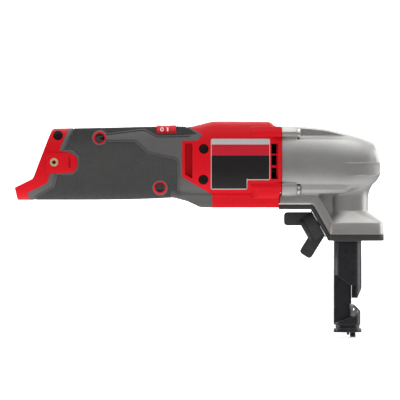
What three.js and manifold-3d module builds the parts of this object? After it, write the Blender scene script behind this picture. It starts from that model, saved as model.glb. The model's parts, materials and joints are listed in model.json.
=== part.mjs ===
// Cordless inline nibbler, bare tool: grip with battery socket, motor housing, cast gear case, turning die holder.
// Millimetres, +Z up. The origin is the centre of the die end's flat face, on the punch axis.
// +X points from the grip to the nose, and the side with the screw heads faces -Y.
import * as THREE from 'three';
import { mergeVertices } from 'three/addons/utils/BufferGeometryUtils.js';
import Module from 'manifold-3d';

const wasm = await Module();
wasm.setup();

// Clearances
const seatGap = 0.2; // between pieces that sit in or on each other
const runGap = 0.35; // between pieces that turn or slide on each other
const overrun = 12; // how far a cut runs past the solid that it cuts

// Main sizes
const axisHeight = 121.8; // motor axis above the die end
const handleLength = 120;
const motorLength = 71; // motor housing, from the grip to the gear case
const headRear = 47.7; // gear case, from the punch axis back to the motor housing
const noseReach = 23.3; // gear case, from the punch axis to its front
const jointGap = 0.3; // parting line between motor housing and gear case
const housingFront = -headRear - jointGap;
const housingRear = housingFront - motorLength;
const handleRear = housingRear - handleLength;

// Handle and motor housing sections
const handleHalfHeight = 25.8;
const handleHalfWidth = 23.5;
const motorHalfHeight = 30;
const motorHalfWidth = 29;
const keelHalfWidth = 17;
const keelFoot = 13; // half width of the keel's flat bottom
const keelSlope = 4.2; // height of the slopes beside that flat bottom
const sectionSquareness = 2.7;
const sectionPoints = 20;
const hollowPoints = 12;
const gripThickness = 1.8;
const shellWall = 2.4;
const partingGap = 0.2;
const barrelShares = [ // along the handle, top and bottom of its half height, half width
  [-0.06, 0.94, -1.03, 0.96], [0.3, 0.97, -1.03, 1], [0.62, 1, -1.022, 1], [0.85, 1.025, -0.993, 1],
  [0.983, 1.03, -0.96, 1.02],
];
const motorShares = [ // along the motor housing, top and bottom of its half height, half width
  [0.065, 0.87, -0.82, 0.9], [0.17, 0.92, -0.82, 0.97], [0.34, 1, -0.82, 1], [0.878, 0.993, -0.82, 1],
  [0.954, 0.88, -0.82, 0.96], [1, 0.88, -0.82, 0.93],
];
const keelShares = [
  [-0.12, -0.83], [-0.024, -0.872], [0.049, -0.917], [0.12, -0.992], [0.191, -1.06], [0.299, -1.07],
  [0.977, -1.07],
];
const rearEndShares = [
  [0.233, 0.96], [0.219, 0.907], [0.115, -0.37], [0.105, -0.445], [0.003, -0.68], [0.001, -0.713],
  [0.013, -0.992], [0.02, -1.1],
];

// Grip overmould, in shares of the handle
const gripRearShares = [[0.322, 0.953], [0.267, 0.353]];
const gripLowRearShares = [[0.213, -0.302], [0.194, -0.558], [0.077, -0.833], [0.086, -1.019]];
const gripFrontShares = [
  [1.18, -1.5], [1.18, -0.884], [1, -0.395], [1, 0.612], [1.093, 0.62], [1.121, 0.787], [1.038, 1.012],
  [1.03, 1.3],
];
const tabShares = [
  [0.19, 0.26], [0.336, 0.26], [0.372, 0.14], [0.372, -0.13], [0.3475, -0.26], [0.19, -0.26],
];
const tabProud = 1.4;
const grooveWidth = 0.8;
const grooveDepth = 0.5;
const lipUpperShares = [[0.362, 1.1], [0.292, 0.337]];
const lipLowerShares = [[0.247, -0.291], [0.227, -0.659], [0.112, -0.946], [0.115, -1.2]];
const upperGrooveShares = [[0.547, 0.779], [0.773, 0.907], [0.852, 0.713], [1.047, 0.733]];
const lowerGrooveShares = [
  [0.542, 0.624], [0.722, 0.628], [0.802, 0.298], [0.966, 0.136], [0.982, 0.027], [0.983, -1.2],
];

// Clip insert in the tab
const insertShare = [0.236, 0.016];
const insertRadius = 3.1;
const insertBore = 1.4;
const insertDepth = 4;
const slotShares = [[0.322, -0.12], [0.335, -0.12], [0.335, 0.167], [0.322, 0.167]];
const slotDepth = 1.2;

// Housing screws, driven in from -Y
const handleScrewShares = [[0.258, 0.767], [0.508, 0.698], [0.868, -0.69]];
const motorScrewShares = [[0.218, 0.333], [0.214, -0.4]];
const ringedScrews = [1, 2]; // the screws that stand in a ring of the housing in the grip
const screwHeadRadius = 3.2;
const screwHeadHeight = 2.4;
const screwRadius = 1.5;
const screwLength = 36; // from the handle's widest plane to the tip
const screwBoss = 4.3;
const screwSunk = 3.2; // head's top below the skin
const screwRing = 4.7;
const driveRadius = 1.3;
const driveDepth = 1.2;

// Side plates, bare
const plateShares = [
  [0.29, 0.573], [0.885, 0.573], [0.885, -0.413], [0.656, -0.413], [0.656, -0.637], [0.29, -0.637],
];
const plateThickness = 0.5;

// Vents
const rearVentShares = [[0.03, 0.463], [0.103, 0.463], [0.103, -0.38], [0.03, -0.277]];
const frontVentShares = [[0.899, 0.952], [-0.38, 0.453]];
const ventBarShares = [[-0.117, -0.06], [0.18, 0.22]];
const ventDepth = 10; // how deep the vents cut, to the baffle behind the rear one
const baffleWall = 1.8;

// Power slide on the top
const slideShares = [0.847, 0.963];
const slideHalfWidth = 17;
const slideTravel = 4;
const slideProud = 0.7;
const slideBed = 1; // depth of its bed in the grip
const slideDrop = 5.6; // how far its sides reach down round the grip
const stemLength = 6;
const stemHalfWidth = 3;
const stemDepth = 8;
const stemReach = 2; // below the housing's inner face
const switchHeight = 9;
const switchHalfWidth = 9;
const switchLength = 24;

// Battery terminals and electronics
const socketDepth = 60; // from the handle's rear end to the terminal block
const terminalLength = 9;
const bladeLength = 16;
const bladeThickness = 1;
const bladeHeight = 7;
const bladeSpacing = 9;
const bladeCount = 3;
const boardLength = 34;
const boardThickness = 1.6;
const boardDropShare = 0.35; // board below the motor axis, of the handle's half height
const chokeRadius = 5;
const chokeHeight = 8;
const ribThickness = 3;

// Motor
const motorRadius = 18.3;
const canWall = 1.8;
const magnetThickness = 2.6;
const magnetArc = 2.2; // radians
const armatureRadius = 13;
const armatureSlots = 9;
const slotDepthShare = 0.45;
const slotOpenShare = 0.3;
const commutatorRadius = 5.5;
const commutatorLength = 5;
const shaftRadius = 2.5;
const bearingRadius = 6.5;
const bearingWidth = 4;
const fanLength = 5.5;
const fanRadius = 19;
const fanBlades = 9;
const fanBladeThickness = 1;
const fanDisc = 1.2;

// Gear train: sun on the motor shaft, three planets, fixed ring
const gearModule = 0.8;
const sunTeeth = 9;
const planetTeeth = 15;
const planetCount = 3;
const ringTeeth = sunTeeth + 2 * planetTeeth;
const gearWidth = 8;
const addendumShare = 0.75;
const dedendumShare = 1.1;
const toothTipShare = 0.2;
const toothPitchRootShare = 0.56;
const gearPlateThickness = 2.6;
const ringRim = 2.4;
const planetPinRadius = 1.9;
const carrierThickness = 3;
const carrierRim = 1.6; // round the planet pins

// Crank, plunger and punch
const stroke = 5;
const crankRadius = 5;
const crankBearingRadius = 9.5;
const crankBearingWidth = 6;
const crankWeb = 3;
const eccentricRadius = 3;
const eccentricRing = 4.7;
const eccentricWidth = 8;
const yokeWall = 2.8;
const yokeHalfLength = 4.4;
const plungerRadius = 6;
const bushRadius = 8.5;
const bushLength = 9.5;
const punchRadius = 2.3;
const punchHeadRadius = 4;
const punchHeadHeight = 4;

// Gear case
const caseHalfHeight = 26.4;
const caseHalfWidth = 25.8;
// Along the head (shares of headRear behind the punch axis, of noseReach before it), top, bottom, half width
const caseShares = [
  [-1, 0.995, -0.935, 0.96], [-0.795, 1.005, -0.935, 1], [-0.644, 0.988, -0.935, 1],
  [-0.356, 0.935, -0.935, 0.985], [-0.105, 0.835, -0.935, 0.95], [0.322, 0.71, -0.8, 0.84],
  [0.62, 0.615, -0.67, 0.7], [0.828, 0.525, -0.55, 0.55], [0.94, 0.27, -0.43, 0.46], [1, 0.04, -0.33, 0.37],
];
// Below the motor axis
const neckDrop = 34.5;
const collarDrop = 52;
const flangeDrop = 29.4;
const caseFloorDrop = 24.5;
const flangeRootDrop = 21.1; // up to here the flange runs into the case
const tubeTopDrop = 29.2;
const neckRadius = 13.6;
const neckForward = 1.25; // neck's centre in front of the punch axis
// Radius, and rise towards the motor axis
const neckShares = [[1, 0], [1.02, 0.3], [1.07, 0.42], [1.25, 0.56], [1.5, 0.73]];
const collarWall = 9.3;
const collarHalfLength = 20.3;
const collarHalfWidth = 19;
const collarForward = 5.8;
const collarSquareness = 4.6;
const flangeHalfWidth = 14;
const flangeRear = 49.4;
const flangeStep = 1.2; // its rear end leans in by this
const strutAngle = 29.2 * Math.PI / 180; // the knob axis below the horizontal
const strutFoot = 12.6; // its outer face behind the punch axis, at the collar's bottom
const strutWidth = 7.2;
const pocketHalfWidth = 6;
const caseScrewSide = 17.5; // to both sides of the motor axis
const upperCaseScrewRise = 20.9;
const lowerCaseScrewDrop = 19.1;
const caseScrewRadius = 1.7;
const caseScrewHead = 3.7;
const caseScrewHeadHeight = 2.6;
const caseScrewLength = 20;
const caseBossLength = 10.9;
const caseBossRadius = 4.2;
const housingBossLength = 23.2; // bulge on the motor housing
const housingBossPoint = 6.7;
// Corners of the bulges, outward and up from the case screws in shares of caseBossRadius, then how far forward
// the corner's rear end lies in shares of housingBossPoint
const upperBossShares = [
  [-1, -0.48, 0], [2.08, -0.48, 0.1], [2.12, 0.24, 0.35], [1.29, 1.17, 0.55], [-1, 1.17, 0],
];
const lowerBossShares = [
  [-1, -1.5, 0], [0.36, -1.5, 0.35], [0.95, -1.24, 1], [1.57, -0.62, 0.92], [1.95, 0.36, 0.35],
  [1.81, 1.12, 0], [-1, 1.12, 0],
];
const upperCaseBossShares = [[-1, -0.48], [1.76, -0.48], [1.86, 0.29], [1.14, 1.17], [-1, 1.17]];
const lowerCaseBossShares = [[-1, -1], [0.64, -1], [1.21, -0.52], [1.6, 0.43], [1.64, 1], [-1, 1]];
const scoopRadius = 4;
// Across the scoops from the case screws outward and up, in shares of scoopRadius
const upperScoopShares = [[4, -1], [0.1, -1], [-0.6, -0.75], [-1, -0.2], [-1, 4], [4, 4]];
const lowerScoopShares = [[4, -0.1], [0.35, -0.1], [0.8, 0.98], [4, 0.98]];
// Lower scoop: how far it has run to its end, size, and move outward
const scoopFades = [[0, 1, 0], [0.48, 1, -0.2], [0.77, 0.95, -0.36], [0.92, 0.8, -0.54], [1, 0.45, -0.4]];
const scoopEnd = 4.4; // in front of the punch axis

// Guard under the gear case
const guardThickness = 3.7;
const guardStrutThickness = 2.6; // along the strut
const guardRear = 49.5;
const guardHalfWidth = 13.5;

// Clamp knob
const knobRise = 9.9; // knob axis above the collar's bottom, at the strut's face
const knobRadius = 9.75;
const knobRibs = 30;
const ribDepth = 0.5;
const knobHub = 7.8;
const knobPlate = 2.7;
const knobPlateShare = 0.94;
const wingAngle = 29 * Math.PI / 180;
const wingReach = 30.9; // from where the wings' centre lines cross
const wingCross = 7.9; // that crossing behind the hub's face
const wingWidth = 9.1;
const wingThickness = 4.6;
const wingCorner = 2.2;
const cornerSteps = 3;
const wingRootShare = 0.36;
const washerRadius = 10.6;
const washerThickness = 1;
const studRadius = 2.4;

// Die holder
const tubeRadius = 10.1;
const tubeBottom = 5.6;
const neckRingRadius = 8.7;
const dieRingHeight = 3;
const guideRise = 46; // floor of the plunger's bore
const webHalfWidth = 3.1;
const webFront = 1.4;
const scoopTop = 41.4;
const scoopTopRear = 8.2; // behind the punch axis, where the slope to the web begins
const scoopTopFront = 34.4;
const scoopBottom = 6.5;
const scoopBottomFront = 10.4;
const bladeHalfWidth = 3.5;
const punchBladeThickness = 1.3;
const punchBladeTop = 34.4;
const punchTip = 20.45;
const throatBottom = 20.2;
const throatTop = 24.8;
const noseSlotFront = 5.5;
const noseSlotTop = 34;
const noseChamferFront = 6.8;
const noseChamferTop = 32.3;
const noseFlat = 3.4; // half width of the middle of the nose, between its side slots
const dieFront = 7.7;
const dieBottom = 10.7;
const dieShares = [[0, 1], [0.48, 1], [1, 0.44], [0.6, 0.03], [0.06, 0]];
const dieHalfLength = 7.4;
const dieEyeRadius = 0.8;
const dieEyeShares = [0.48, 0.62];
const lowerNoseTop = 15.5;
const lowerNoseFront = 9.2;
const largeScrewForward = 3.75;
const largeScrewRadius = 2.1;
const largeScrewDrop = 3.5;
const smallScrewForward = 0.2;
const smallScrewSide = 6;
const smallScrewRadius = 1;
const smallScrewDrop = 1.7;
const dieScrewDepth = 4.4; // how far both reach into the holder

// Heights in the head
const neckBottom = axisHeight - neckDrop;
const collarBottom = axisHeight - collarDrop;
const flangeBottom = axisHeight - flangeDrop;
const caseFloor = axisHeight - caseFloorDrop;
const flangeRoot = axisHeight - flangeRootDrop;
const tubeTop = axisHeight - tubeTopDrop;

// Facets
const fine = 24;
const medium = 12;
const coarse = 8;

// Helpers: closed meshes, joined and cut as solids

function solid(geometry) {
  const bare = geometry.clone();
  bare.deleteAttribute('normal');
  bare.deleteAttribute('uv');
  const merged = mergeVertices(bare);
  const place = merged.getAttribute('position');
  const corners = merged.getIndex().array;
  const a = new THREE.Vector3();
  const b = new THREE.Vector3();
  const c = new THREE.Vector3();
  const kept = [];
  let volume = 0;
  for (let i = 0; i < corners.length; i += 3) {
    const [p, q, r] = corners.slice(i, i + 3);
    if (p !== q && q !== r && r !== p) {
      kept.push([p, q, r]);
      a.fromBufferAttribute(place, p);
      b.fromBufferAttribute(place, q);
      c.fromBufferAttribute(place, r);
      volume += a.dot(b.cross(c));
    }
  }
  const outward = volume > 0 ? kept : kept.map(([p, q, r]) => [p, r, q]);
  return new wasm.Manifold(new wasm.Mesh({
    numProp: 3,
    vertProperties: new Float32Array(place.array),
    triVerts: new Uint32Array(outward.flat()),
  }));
}

function joined(solids) {
  return solids.reduce((sum, next) => sum.add(next));
}

function cutBy(body, tools) {
  return tools.reduce((left, tool) => left.subtract(tool), body);
}

function moved(body, x, y, z) {
  return body.translate([x, y, z]);
}

function mirrored(body) {
  return body.mirror([0, 1, 0]);
}

const alongX = new THREE.Matrix4().makeBasis(
  new THREE.Vector3(0, 1, 0), new THREE.Vector3(0, 0, 1), new THREE.Vector3(1, 0, 0));
const alongY = new THREE.Matrix4().makeBasis(
  new THREE.Vector3(1, 0, 0), new THREE.Vector3(0, 0, 1), new THREE.Vector3(0, -1, 0));

function prism(outline, from, to, axis, holes = []) {
  const shape = new THREE.Shape(outline.map(([u, v]) => new THREE.Vector2(u, v)));
  shape.holes = holes.map((hole) => new THREE.Path(hole.map(([u, v]) => new THREE.Vector2(u, v))));
  const geometry = new THREE.ExtrudeGeometry(shape, { depth: to - from, bevelEnabled: false });
  if (axis === 'x') return solid(geometry.applyMatrix4(alongX).translate(from, 0, 0));
  if (axis === 'y') return solid(geometry.applyMatrix4(alongY).translate(0, to, 0));
  return solid(geometry.translate(0, 0, from));
}

function turned(profile, axis, segments) {
  const closed = [...profile, profile[0]].map(([r, h]) => new THREE.Vector2(r, h));
  const geometry = new THREE.LatheGeometry(closed, segments);
  if (axis === 'x') geometry.rotateZ(-Math.PI / 2);
  if (axis === 'z') geometry.rotateX(Math.PI / 2);
  return solid(geometry);
}

function rod(radius, from, to, axis, segments) {
  return turned([[0, from], [radius, from], [radius, to], [0, to]], axis, segments);
}

function tube(outer, inner, from, to, axis, segments) {
  return turned([[inner, from], [outer, from], [outer, to], [inner, to]], axis, segments);
}

function block(from, to) {
  const size = to.map((high, i) => high - from[i]);
  const centre = to.map((high, i) => (high + from[i]) / 2);
  return solid(new THREE.BoxGeometry(...size).translate(...centre));
}

function circle(radius, count, u = 0, v = 0) {
  return Array.from({ length: count }, (_, i) => {
    const turn = i * 2 * Math.PI / count;
    return [u + radius * Math.cos(turn), v + radius * Math.sin(turn)];
  });
}

// A closed skin over rings of points, with a fan on each end
function skin(rings) {
  const count = rings[0].length;
  const centres = [rings[0], rings.at(-1)].map((ring) => {
    const sum = ring.reduce((total, point) => total.add(point), new THREE.Vector3());
    return sum.divideScalar(count);
  });
  const points = [...rings.flat(), ...centres];
  const corners = [];
  for (let i = 0; i < count; i++) {
    const j = (i + 1) % count;
    for (let k = 0; k < rings.length - 1; k++) {
      const [low, high] = [k * count, (k + 1) * count];
      corners.push(low + i, low + j, high + j, low + i, high + j, high + i);
    }
    const last = (rings.length - 1) * count;
    corners.push(points.length - 2, j, i, points.length - 1, last + i, last + j);
  }
  const geometry = new THREE.BufferGeometry();
  geometry.setAttribute('position', new THREE.Float32BufferAttribute(points.flatMap((p) => p.toArray()), 3));
  geometry.setIndex(corners);
  return solid(geometry);
}

function rounded(turn, squareness) {
  const bend = (value) => Math.sign(value) * Math.abs(value) ** (2 / squareness);
  return [bend(Math.cos(turn)), bend(Math.sin(turn))];
}

function section(x, top, bottom, half, count = sectionPoints) {
  const flat = rounded(Math.PI / 2 - Math.PI / count, sectionSquareness)[1]; // its top and bottom are flats
  return Array.from({ length: count }, (_, i) => {
    const [across, up] = rounded((i + 0.5) * 2 * Math.PI / count, sectionSquareness);
    return new THREE.Vector3(x, across * half, (top + bottom) / 2 + up / flat * (top - bottom) / 2);
  });
}

function plan(z, centre, halfLength, halfWidth, squareness) {
  return Array.from({ length: sectionPoints }, (_, i) => {
    const [along, across] = rounded(i * 2 * Math.PI / sectionPoints, squareness);
    return new THREE.Vector3(centre + along * halfLength, across * halfWidth, z);
  });
}

// A line moved sideways by a distance, with its corners mitred
function beside(points, distance) {
  const edge = (p, q) => new THREE.Vector2(q[0] - p[0], q[1] - p[1]).normalize();
  return points.map(([u, v], i) => {
    const before = edge(points[Math.max(i - 1, 0)], points[Math.max(i, 1)]);
    const after = edge(points[Math.min(i, points.length - 2)], points[Math.min(i + 1, points.length - 1)]);
    const side = before.clone().add(after).normalize();
    const stretch = distance / side.dot(before);
    return [u - side.y * stretch, v + side.x * stretch];
  });
}

// The same, with its own distance for each edge
function besideEach(points, distances) {
  const sides = distances.map((_, i) => {
    const [[u, v], [s, t]] = [points[i], points[i + 1]];
    return new THREE.Vector2(v - t, s - u).normalize();
  });
  return points.map(([u, v], i) => {
    const [p, q] = [Math.max(i - 1, 0), Math.min(i, distances.length - 1)];
    const turn = p === q ? 0 : sides[p].dot(sides[q]);
    const share = (own, other) => (own - other * turn) / (1 - turn * turn);
    const move = sides[p].clone().multiplyScalar(share(distances[p], distances[q]));
    if (p !== q) move.add(sides[q].clone().multiplyScalar(share(distances[q], distances[p])));
    return [u + move.x, v + move.y];
  });
}

function ribbon(points, width) {
  return [...beside(points, width / 2), ...beside(points, -width / 2).reverse()];
}

// A closed outline, drawn anticlockwise, grown by a distance
function grown(outline, distance) {
  const ring = [outline.at(-1), ...outline, outline[0]];
  return beside(ring, -distance).slice(1, -1);
}

function anticlockwise(outline) {
  const area = THREE.ShapeUtils.area(outline.map(([u, v]) => new THREE.Vector2(u, v)));
  return area > 0 ? outline : [...outline].reverse();
}

// Places in the side view, from shares of the piece that carries them

const onHandle = ([along, up]) => [handleRear + along * handleLength, axisHeight + up * handleHalfHeight];
const onMotor = ([along, up]) => [housingRear + along * motorLength, axisHeight + up * motorHalfHeight];
const widest = Math.max(motorHalfWidth, handleHalfWidth, caseHalfWidth) + overrun;
const below = axisHeight - motorHalfHeight - overrun;
const above = axisHeight + motorHalfHeight + overrun;

// Outer form of handle and motor housing, drawn in by an inset

function outerForm(inset, rear = 0, count = sectionPoints) {
  const handle = barrelShares.map(([along, top, bottom, half]) => section(
    handleRear + along * handleLength - (along < 0 ? rear : 0), axisHeight + top * handleHalfHeight - inset,
    axisHeight + bottom * handleHalfHeight + inset, half * handleHalfWidth - inset, count));
  const motor = motorShares.map(([along, top, bottom, half]) => section(
    housingRear + along * motorLength + (along === 1 ? rear : 0), axisHeight + top * motorHalfHeight - inset,
    axisHeight + bottom * motorHalfHeight + inset, half * motorHalfWidth - inset, count));
  return skin([...handle, ...motor]);
}

function keelForm(inset) {
  const line = keelShares.map(onMotor);
  const rings = line.map(([x, z]) => {
    const foot = z + inset;
    const side = Math.max(axisHeight + motorShares[0][2] * motorHalfHeight - keelSlope, foot + inset);
    const steps = [
      [-keelHalfWidth, axisHeight], [-keelHalfWidth, side], [-keelFoot, foot], [keelFoot, foot],
      [keelHalfWidth, side], [keelHalfWidth, axisHeight],
    ];
    return steps.map(([y, up]) => new THREE.Vector3(x, y - Math.sign(y) * inset, up));
  });
  return skin(rings);
}

const outer = form(0);

function form(inset, rear = 0) {
  return outerForm(inset, rear).add(keelForm(inset));
}

// A cut to a depth under the housing's skin, within an outline of the side view, and the piece that fills it
function bed(outline, depth) {
  return prism(anticlockwise(outline), -widest, widest, 'y').subtract(form(depth, overrun));
}

function inlay(outline, depth, proud = 0) {
  return bed(outline, depth).intersect(proud === 0 ? outer : form(-proud));
}

// All that the slanted rear end leaves off
const wellBehind = handleRear - 2 * overrun;
const behind = prism(anticlockwise([...rearEndShares.map(onHandle), [onHandle(rearEndShares.at(-1))[0], below],
  [wellBehind, below], [wellBehind, above], [onHandle(rearEndShares[0])[0], above]]), -widest, widest, 'y');

const tab = tabShares.map(onHandle);
const gripOutline = anticlockwise([
  [onHandle(gripRearShares[0])[0], above], ...gripRearShares.map(onHandle),
  ...grown(anticlockwise(tab), seatGap * 2).reverse().filter(([x]) => x > onHandle(gripRearShares[1])[0]),
  ...gripLowRearShares.map(onHandle), [onHandle(gripLowRearShares.at(-1))[0], below],
  ...gripFrontShares.map(onHandle), [onHandle(gripFrontShares.at(-1))[0], above],
]);
const screwPlaces = [...handleScrewShares.map(onHandle), ...motorScrewShares.map(onMotor)];
const screwRings = ringedScrews.map((i) => screwPlaces[i]);
const caseScrewPlaces = [upperCaseScrewRise, -lowerCaseScrewDrop].flatMap(
  (up) => [[-caseScrewSide, up], [caseScrewSide, up]]);
const largeScrewPlace = [largeScrewForward, 0];
const smallScrewPlace = [smallScrewForward, -smallScrewSide];

// Depths in the housing
const wallInset = gripThickness + seatGap + shellWall;
const motorScrewFront = Math.max(...motorScrewShares.map((share) => onMotor(share)[0]));
const motorRear = motorScrewFront + screwBoss + canWall + runGap;
const fanFront = housingFront - gearPlateThickness - seatGap;
const fanRear = fanFront - fanLength;
const canFront = fanRear - runGap - bearingWidth / 2;
const terminalRear = handleRear + socketDepth;
const stopRear = terminalRear - ribThickness - 2 * seatGap; // stands out through the rib's opening
const terminalFront = terminalRear + terminalLength;
const boardRear = terminalFront + ribThickness;
const boardHeight = axisHeight - boardDropShare * handleHalfHeight;
const slideEnds = slideShares.map((along) => handleRear + along * handleLength);
const slideMiddle = (slideEnds[0] + slideEnds[1]) / 2;
const slideTop = axisHeight + barrelShares[3][1] * handleHalfHeight;

function cavity(inset) {
  return outerForm(inset, overrun, hollowPoints).intersect(
    block([handleRear - overrun, -widest, below], [housingFront + overrun, widest, above]));
}

const hollow = cavity(wallInset);
const within = cavity(wallInset + seatGap);

function slab(from, to) {
  return block([from, -widest, below], [to, widest, above]);
}

function motorRibs() {
  const places = [motorRear + ribThickness, canFront - 2 * ribThickness];
  return places.map((x) => slab(x, x + ribThickness).subtract(
    moved(rod(motorRadius + seatGap, x - overrun, x + ribThickness + overrun, 'x', fine), 0, 0, axisHeight)));
}

function terminalRibs() {
  const inner = cavity(wallInset + shellWall);
  return [terminalRear - ribThickness - seatGap, terminalFront + seatGap].map(
    (x) => slab(x, x + ribThickness).subtract(inner));
}

function boardLedges() {
  const inner = cavity(wallInset + shellWall);
  const under = block([boardRear + ribThickness, -widest, below],
    [boardRear + boardLength, widest, boardHeight - seatGap]);
  return [under.subtract(inner)];
}

function switchLedges() {
  const inner = cavity(wallInset + shellWall);
  const top = slideTop - wallInset - switchHeight;
  return [block([slideMiddle - switchLength / 2, -widest, top - stemDepth],
    [slideMiddle + switchLength / 2, widest, top]).subtract(inner)];
}

// Copies of a body at every housing screw, and at every case screw
function atHousingScrews(body) {
  return screwPlaces.map(([x, z]) => moved(body, x, 0, z));
}

function atCaseScrews(body) {
  return caseScrewPlaces.map(([y, z]) => moved(body, 0, y, axisHeight + z));
}

function screwPosts() {
  return atHousingScrews(rod(screwBoss, -widest, widest, 'y', medium));
}

function caseScrewPosts() {
  return atCaseScrews(rod(caseBossRadius, housingFront - caseScrewLength, housingFront + overrun, 'x', medium));
}

// Places across the head, from shares of the piece round a case screw
function roundCaseScrew([out, up], side, rise, radius) {
  return [side * (caseScrewSide + out * radius), axisHeight + rise + up * radius];
}

// Bulges round the case screws, each with a slanted facet at its rear
function housingBosses() {
  const rear = housingFront - housingBossLength;
  const boss = (shares, side, rise) => {
    const placed = shares.map((share) => [...roundCaseScrew(share, side, rise, caseBossRadius), share[2]]);
    const around = side > 0 ? placed : placed.reverse();
    return skin([(back) => rear + back * housingBossPoint, () => housingFront].map(
      (reach) => around.map(([y, z, back]) => new THREE.Vector3(reach(back), y, z))));
  };
  return [1, -1].flatMap((side) => [
    boss(upperBossShares, side, upperCaseScrewRise), boss(lowerBossShares, side, -lowerCaseScrewDrop),
  ]);
}

function ventBaffle() {
  const [rear, front] = [onMotor(rearVentShares[0])[0] - ribThickness, onMotor(rearVentShares[1])[0] + ribThickness];
  const [low, high] = [onMotor(rearVentShares[2])[1] - ribThickness, onMotor(rearVentShares[0])[1] + ribThickness];
  const depth = ventDepth - motorHalfWidth;
  return [block([rear, -widest, low], [rear + ribThickness, depth + baffleWall, high]),
    block([rear, depth, low], [front, depth + baffleWall, high])];
}

// How far the skin lies from the middle plane at a place of the side view
function skinDepth([x, z], body) {
  const probe = body.intersect(moved(rod(screwHeadRadius, -widest, 0, 'y', coarse), x, 0, z));
  return probe.boundingBox().min[1];
}

const screwSeats = screwPlaces.map((place) => skinDepth(place, outer) + screwSunk);

function screwRecesses() {
  return screwPlaces.map(([x, z], i) => moved(
    rod(screwHeadRadius + seatGap, -widest, screwSeats[i] + screwHeadHeight + seatGap, 'y', medium), x, 0, z));
}

function ventCuts() {
  const [[rear, front], [low, high]] = frontVentShares;
  const cells = [low, ...ventBarShares.flat(), high];
  const windows = [0, 2, 4].map((i) => [
    [rear, cells[i]], [front, cells[i]], [front, cells[i + 1]], [rear, cells[i + 1]],
  ]);
  return [rearVentShares, ...windows].map((shares) => prism(
    anticlockwise(shares.map(onMotor)), -widest, ventDepth - motorHalfWidth, 'y'));
}

function tabPad() {
  const depth = handleHalfWidth + tabProud;
  return prism(anticlockwise(tab), -depth, -handleHalfWidth + wallInset, 'y').subtract(behind);
}

function tabCuts() {
  const [x, z] = onHandle(insertShare);
  const face = -handleHalfWidth - tabProud;
  const seat = rod(insertRadius + seatGap, face - overrun, face + insertDepth + seatGap, 'y', medium);
  const slot = prism(anticlockwise(slotShares.map(onHandle)), face - overrun, face + slotDepth, 'y');
  return [moved(seat, x, 0, z), slot];
}

function slideStemSlot() {
  return block([slideMiddle - stemLength / 2 - runGap, -stemHalfWidth - runGap, axisHeight],
    [slideMiddle + stemLength / 2 + slideTravel + runGap, stemHalfWidth + runGap, above]);
}

function slideOutline(gap, travel) {
  const [rear, front] = [slideEnds[0] - gap, slideEnds[1] + travel + gap];
  const foot = slideTop - slideDrop - gap;
  return [[rear, foot], [front, foot], [front, above], [rear, above]];
}

// Housing halves: each is drawn on the -Y side, and the left one is mirrored

function halfShell(cuts) {
  const room = cutBy(hollow, [
    ...motorRibs(), ...terminalRibs(), ...boardLedges(), ...switchLedges(), ...screwPosts(), ...caseScrewPosts(),
    ...ventBaffle(),
  ]);
  const rings = joined(screwRings.map(([x, z]) => moved(rod(screwRing, -widest, widest, 'y', medium), x, 0, z)));
  const gripBed = bed(grown(gripOutline, seatGap), gripThickness + seatGap).subtract(rings);
  const plateBed = bed(grown(anticlockwise(plateShares.map(onMotor)), seatGap), plateThickness + seatGap);
  return cutBy(joined([outer.subtract(gripBed), tabPad(), ...housingBosses()]), [
    room, behind, plateBed, ...ventCuts(), ...tabCuts(), slideStemSlot(), ...caseScrewBores(), ...cuts,
  ]).intersect(rightSide);
}

function rightHousing() {
  return halfShell([...screwRecesses(), ...atHousingScrews(rod(screwRadius + seatGap, -widest, 0, 'y', coarse))]);
}

function leftHousing() {
  const depth = screwLength - handleHalfWidth + shellWall;
  return mirrored(halfShell(atHousingScrews(rod(screwRadius + seatGap, -depth, overrun, 'y', coarse))));
}

function caseScrewBores() {
  const tip = -headRear + caseBossLength - caseScrewLength;
  return atCaseScrews(rod(caseScrewRadius + seatGap, tip - seatGap, housingFront + overrun, 'x', coarse));
}

const rightSide = block([handleRear - overrun, -widest, below], [housingFront + overrun, -partingGap / 2, above]);

// Grip, on the -Y side

function rightGrip() {
  const grooves = [lipUpperShares, lipLowerShares, upperGrooveShares, lowerGrooveShares].map(
    (shares) => bed(ribbon(shares.map(onHandle), grooveWidth), grooveDepth));
  const rings = screwRings.map(([x, z]) => moved(rod(screwRing + seatGap, -widest, widest, 'y', medium), x, 0, z));
  const slideRoom = bed(slideOutline(runGap, slideTravel), slideBed);
  return cutBy(inlay(gripOutline, gripThickness), [...grooves, ...rings, behind, slideRoom, slideStemSlot()])
    .intersect(rightSide);
}

function powerSlide() {
  const cap = inlay(slideOutline(0, 0), slideBed - runGap, slideProud).intersect(
    block([handleRear, -slideHalfWidth, below], [housingFront, slideHalfWidth, above]));
  const stem = block([slideMiddle - stemLength / 2, -stemHalfWidth, slideTop - wallInset - stemReach],
    [slideMiddle + stemLength / 2, stemHalfWidth, slideTop]);
  return cap.add(stem);
}

function switchModule() {
  const top = slideTop - wallInset - stemReach - runGap;
  return block([slideMiddle - switchLength / 2, -switchHalfWidth, top - switchHeight],
    [slideMiddle + switchLength / 2, switchHalfWidth, top]).intersect(within);
}

function sidePlate() {
  return inlay(plateShares.map(onMotor), plateThickness).intersect(rightSide);
}

// Fasteners and small pieces of the handle

function housingScrew(i) {
  const [x, z] = screwPlaces[i];
  const top = screwSeats[i];
  const end = screwLength - handleHalfWidth;
  const body = turned([[0, top + driveDepth], [driveRadius, top + driveDepth], [driveRadius, top],
    [screwHeadRadius, top], [screwHeadRadius, top + screwHeadHeight], [screwRadius, top + screwHeadHeight],
    [screwRadius, end], [0, end]], 'y', coarse);
  return moved(body, x, 0, z);
}

function clipInsert() {
  const [x, z] = onHandle(insertShare);
  const face = -handleHalfWidth - tabProud;
  return moved(tube(insertRadius, insertBore, face, face + insertDepth, 'y', medium), x, 0, z);
}

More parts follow.
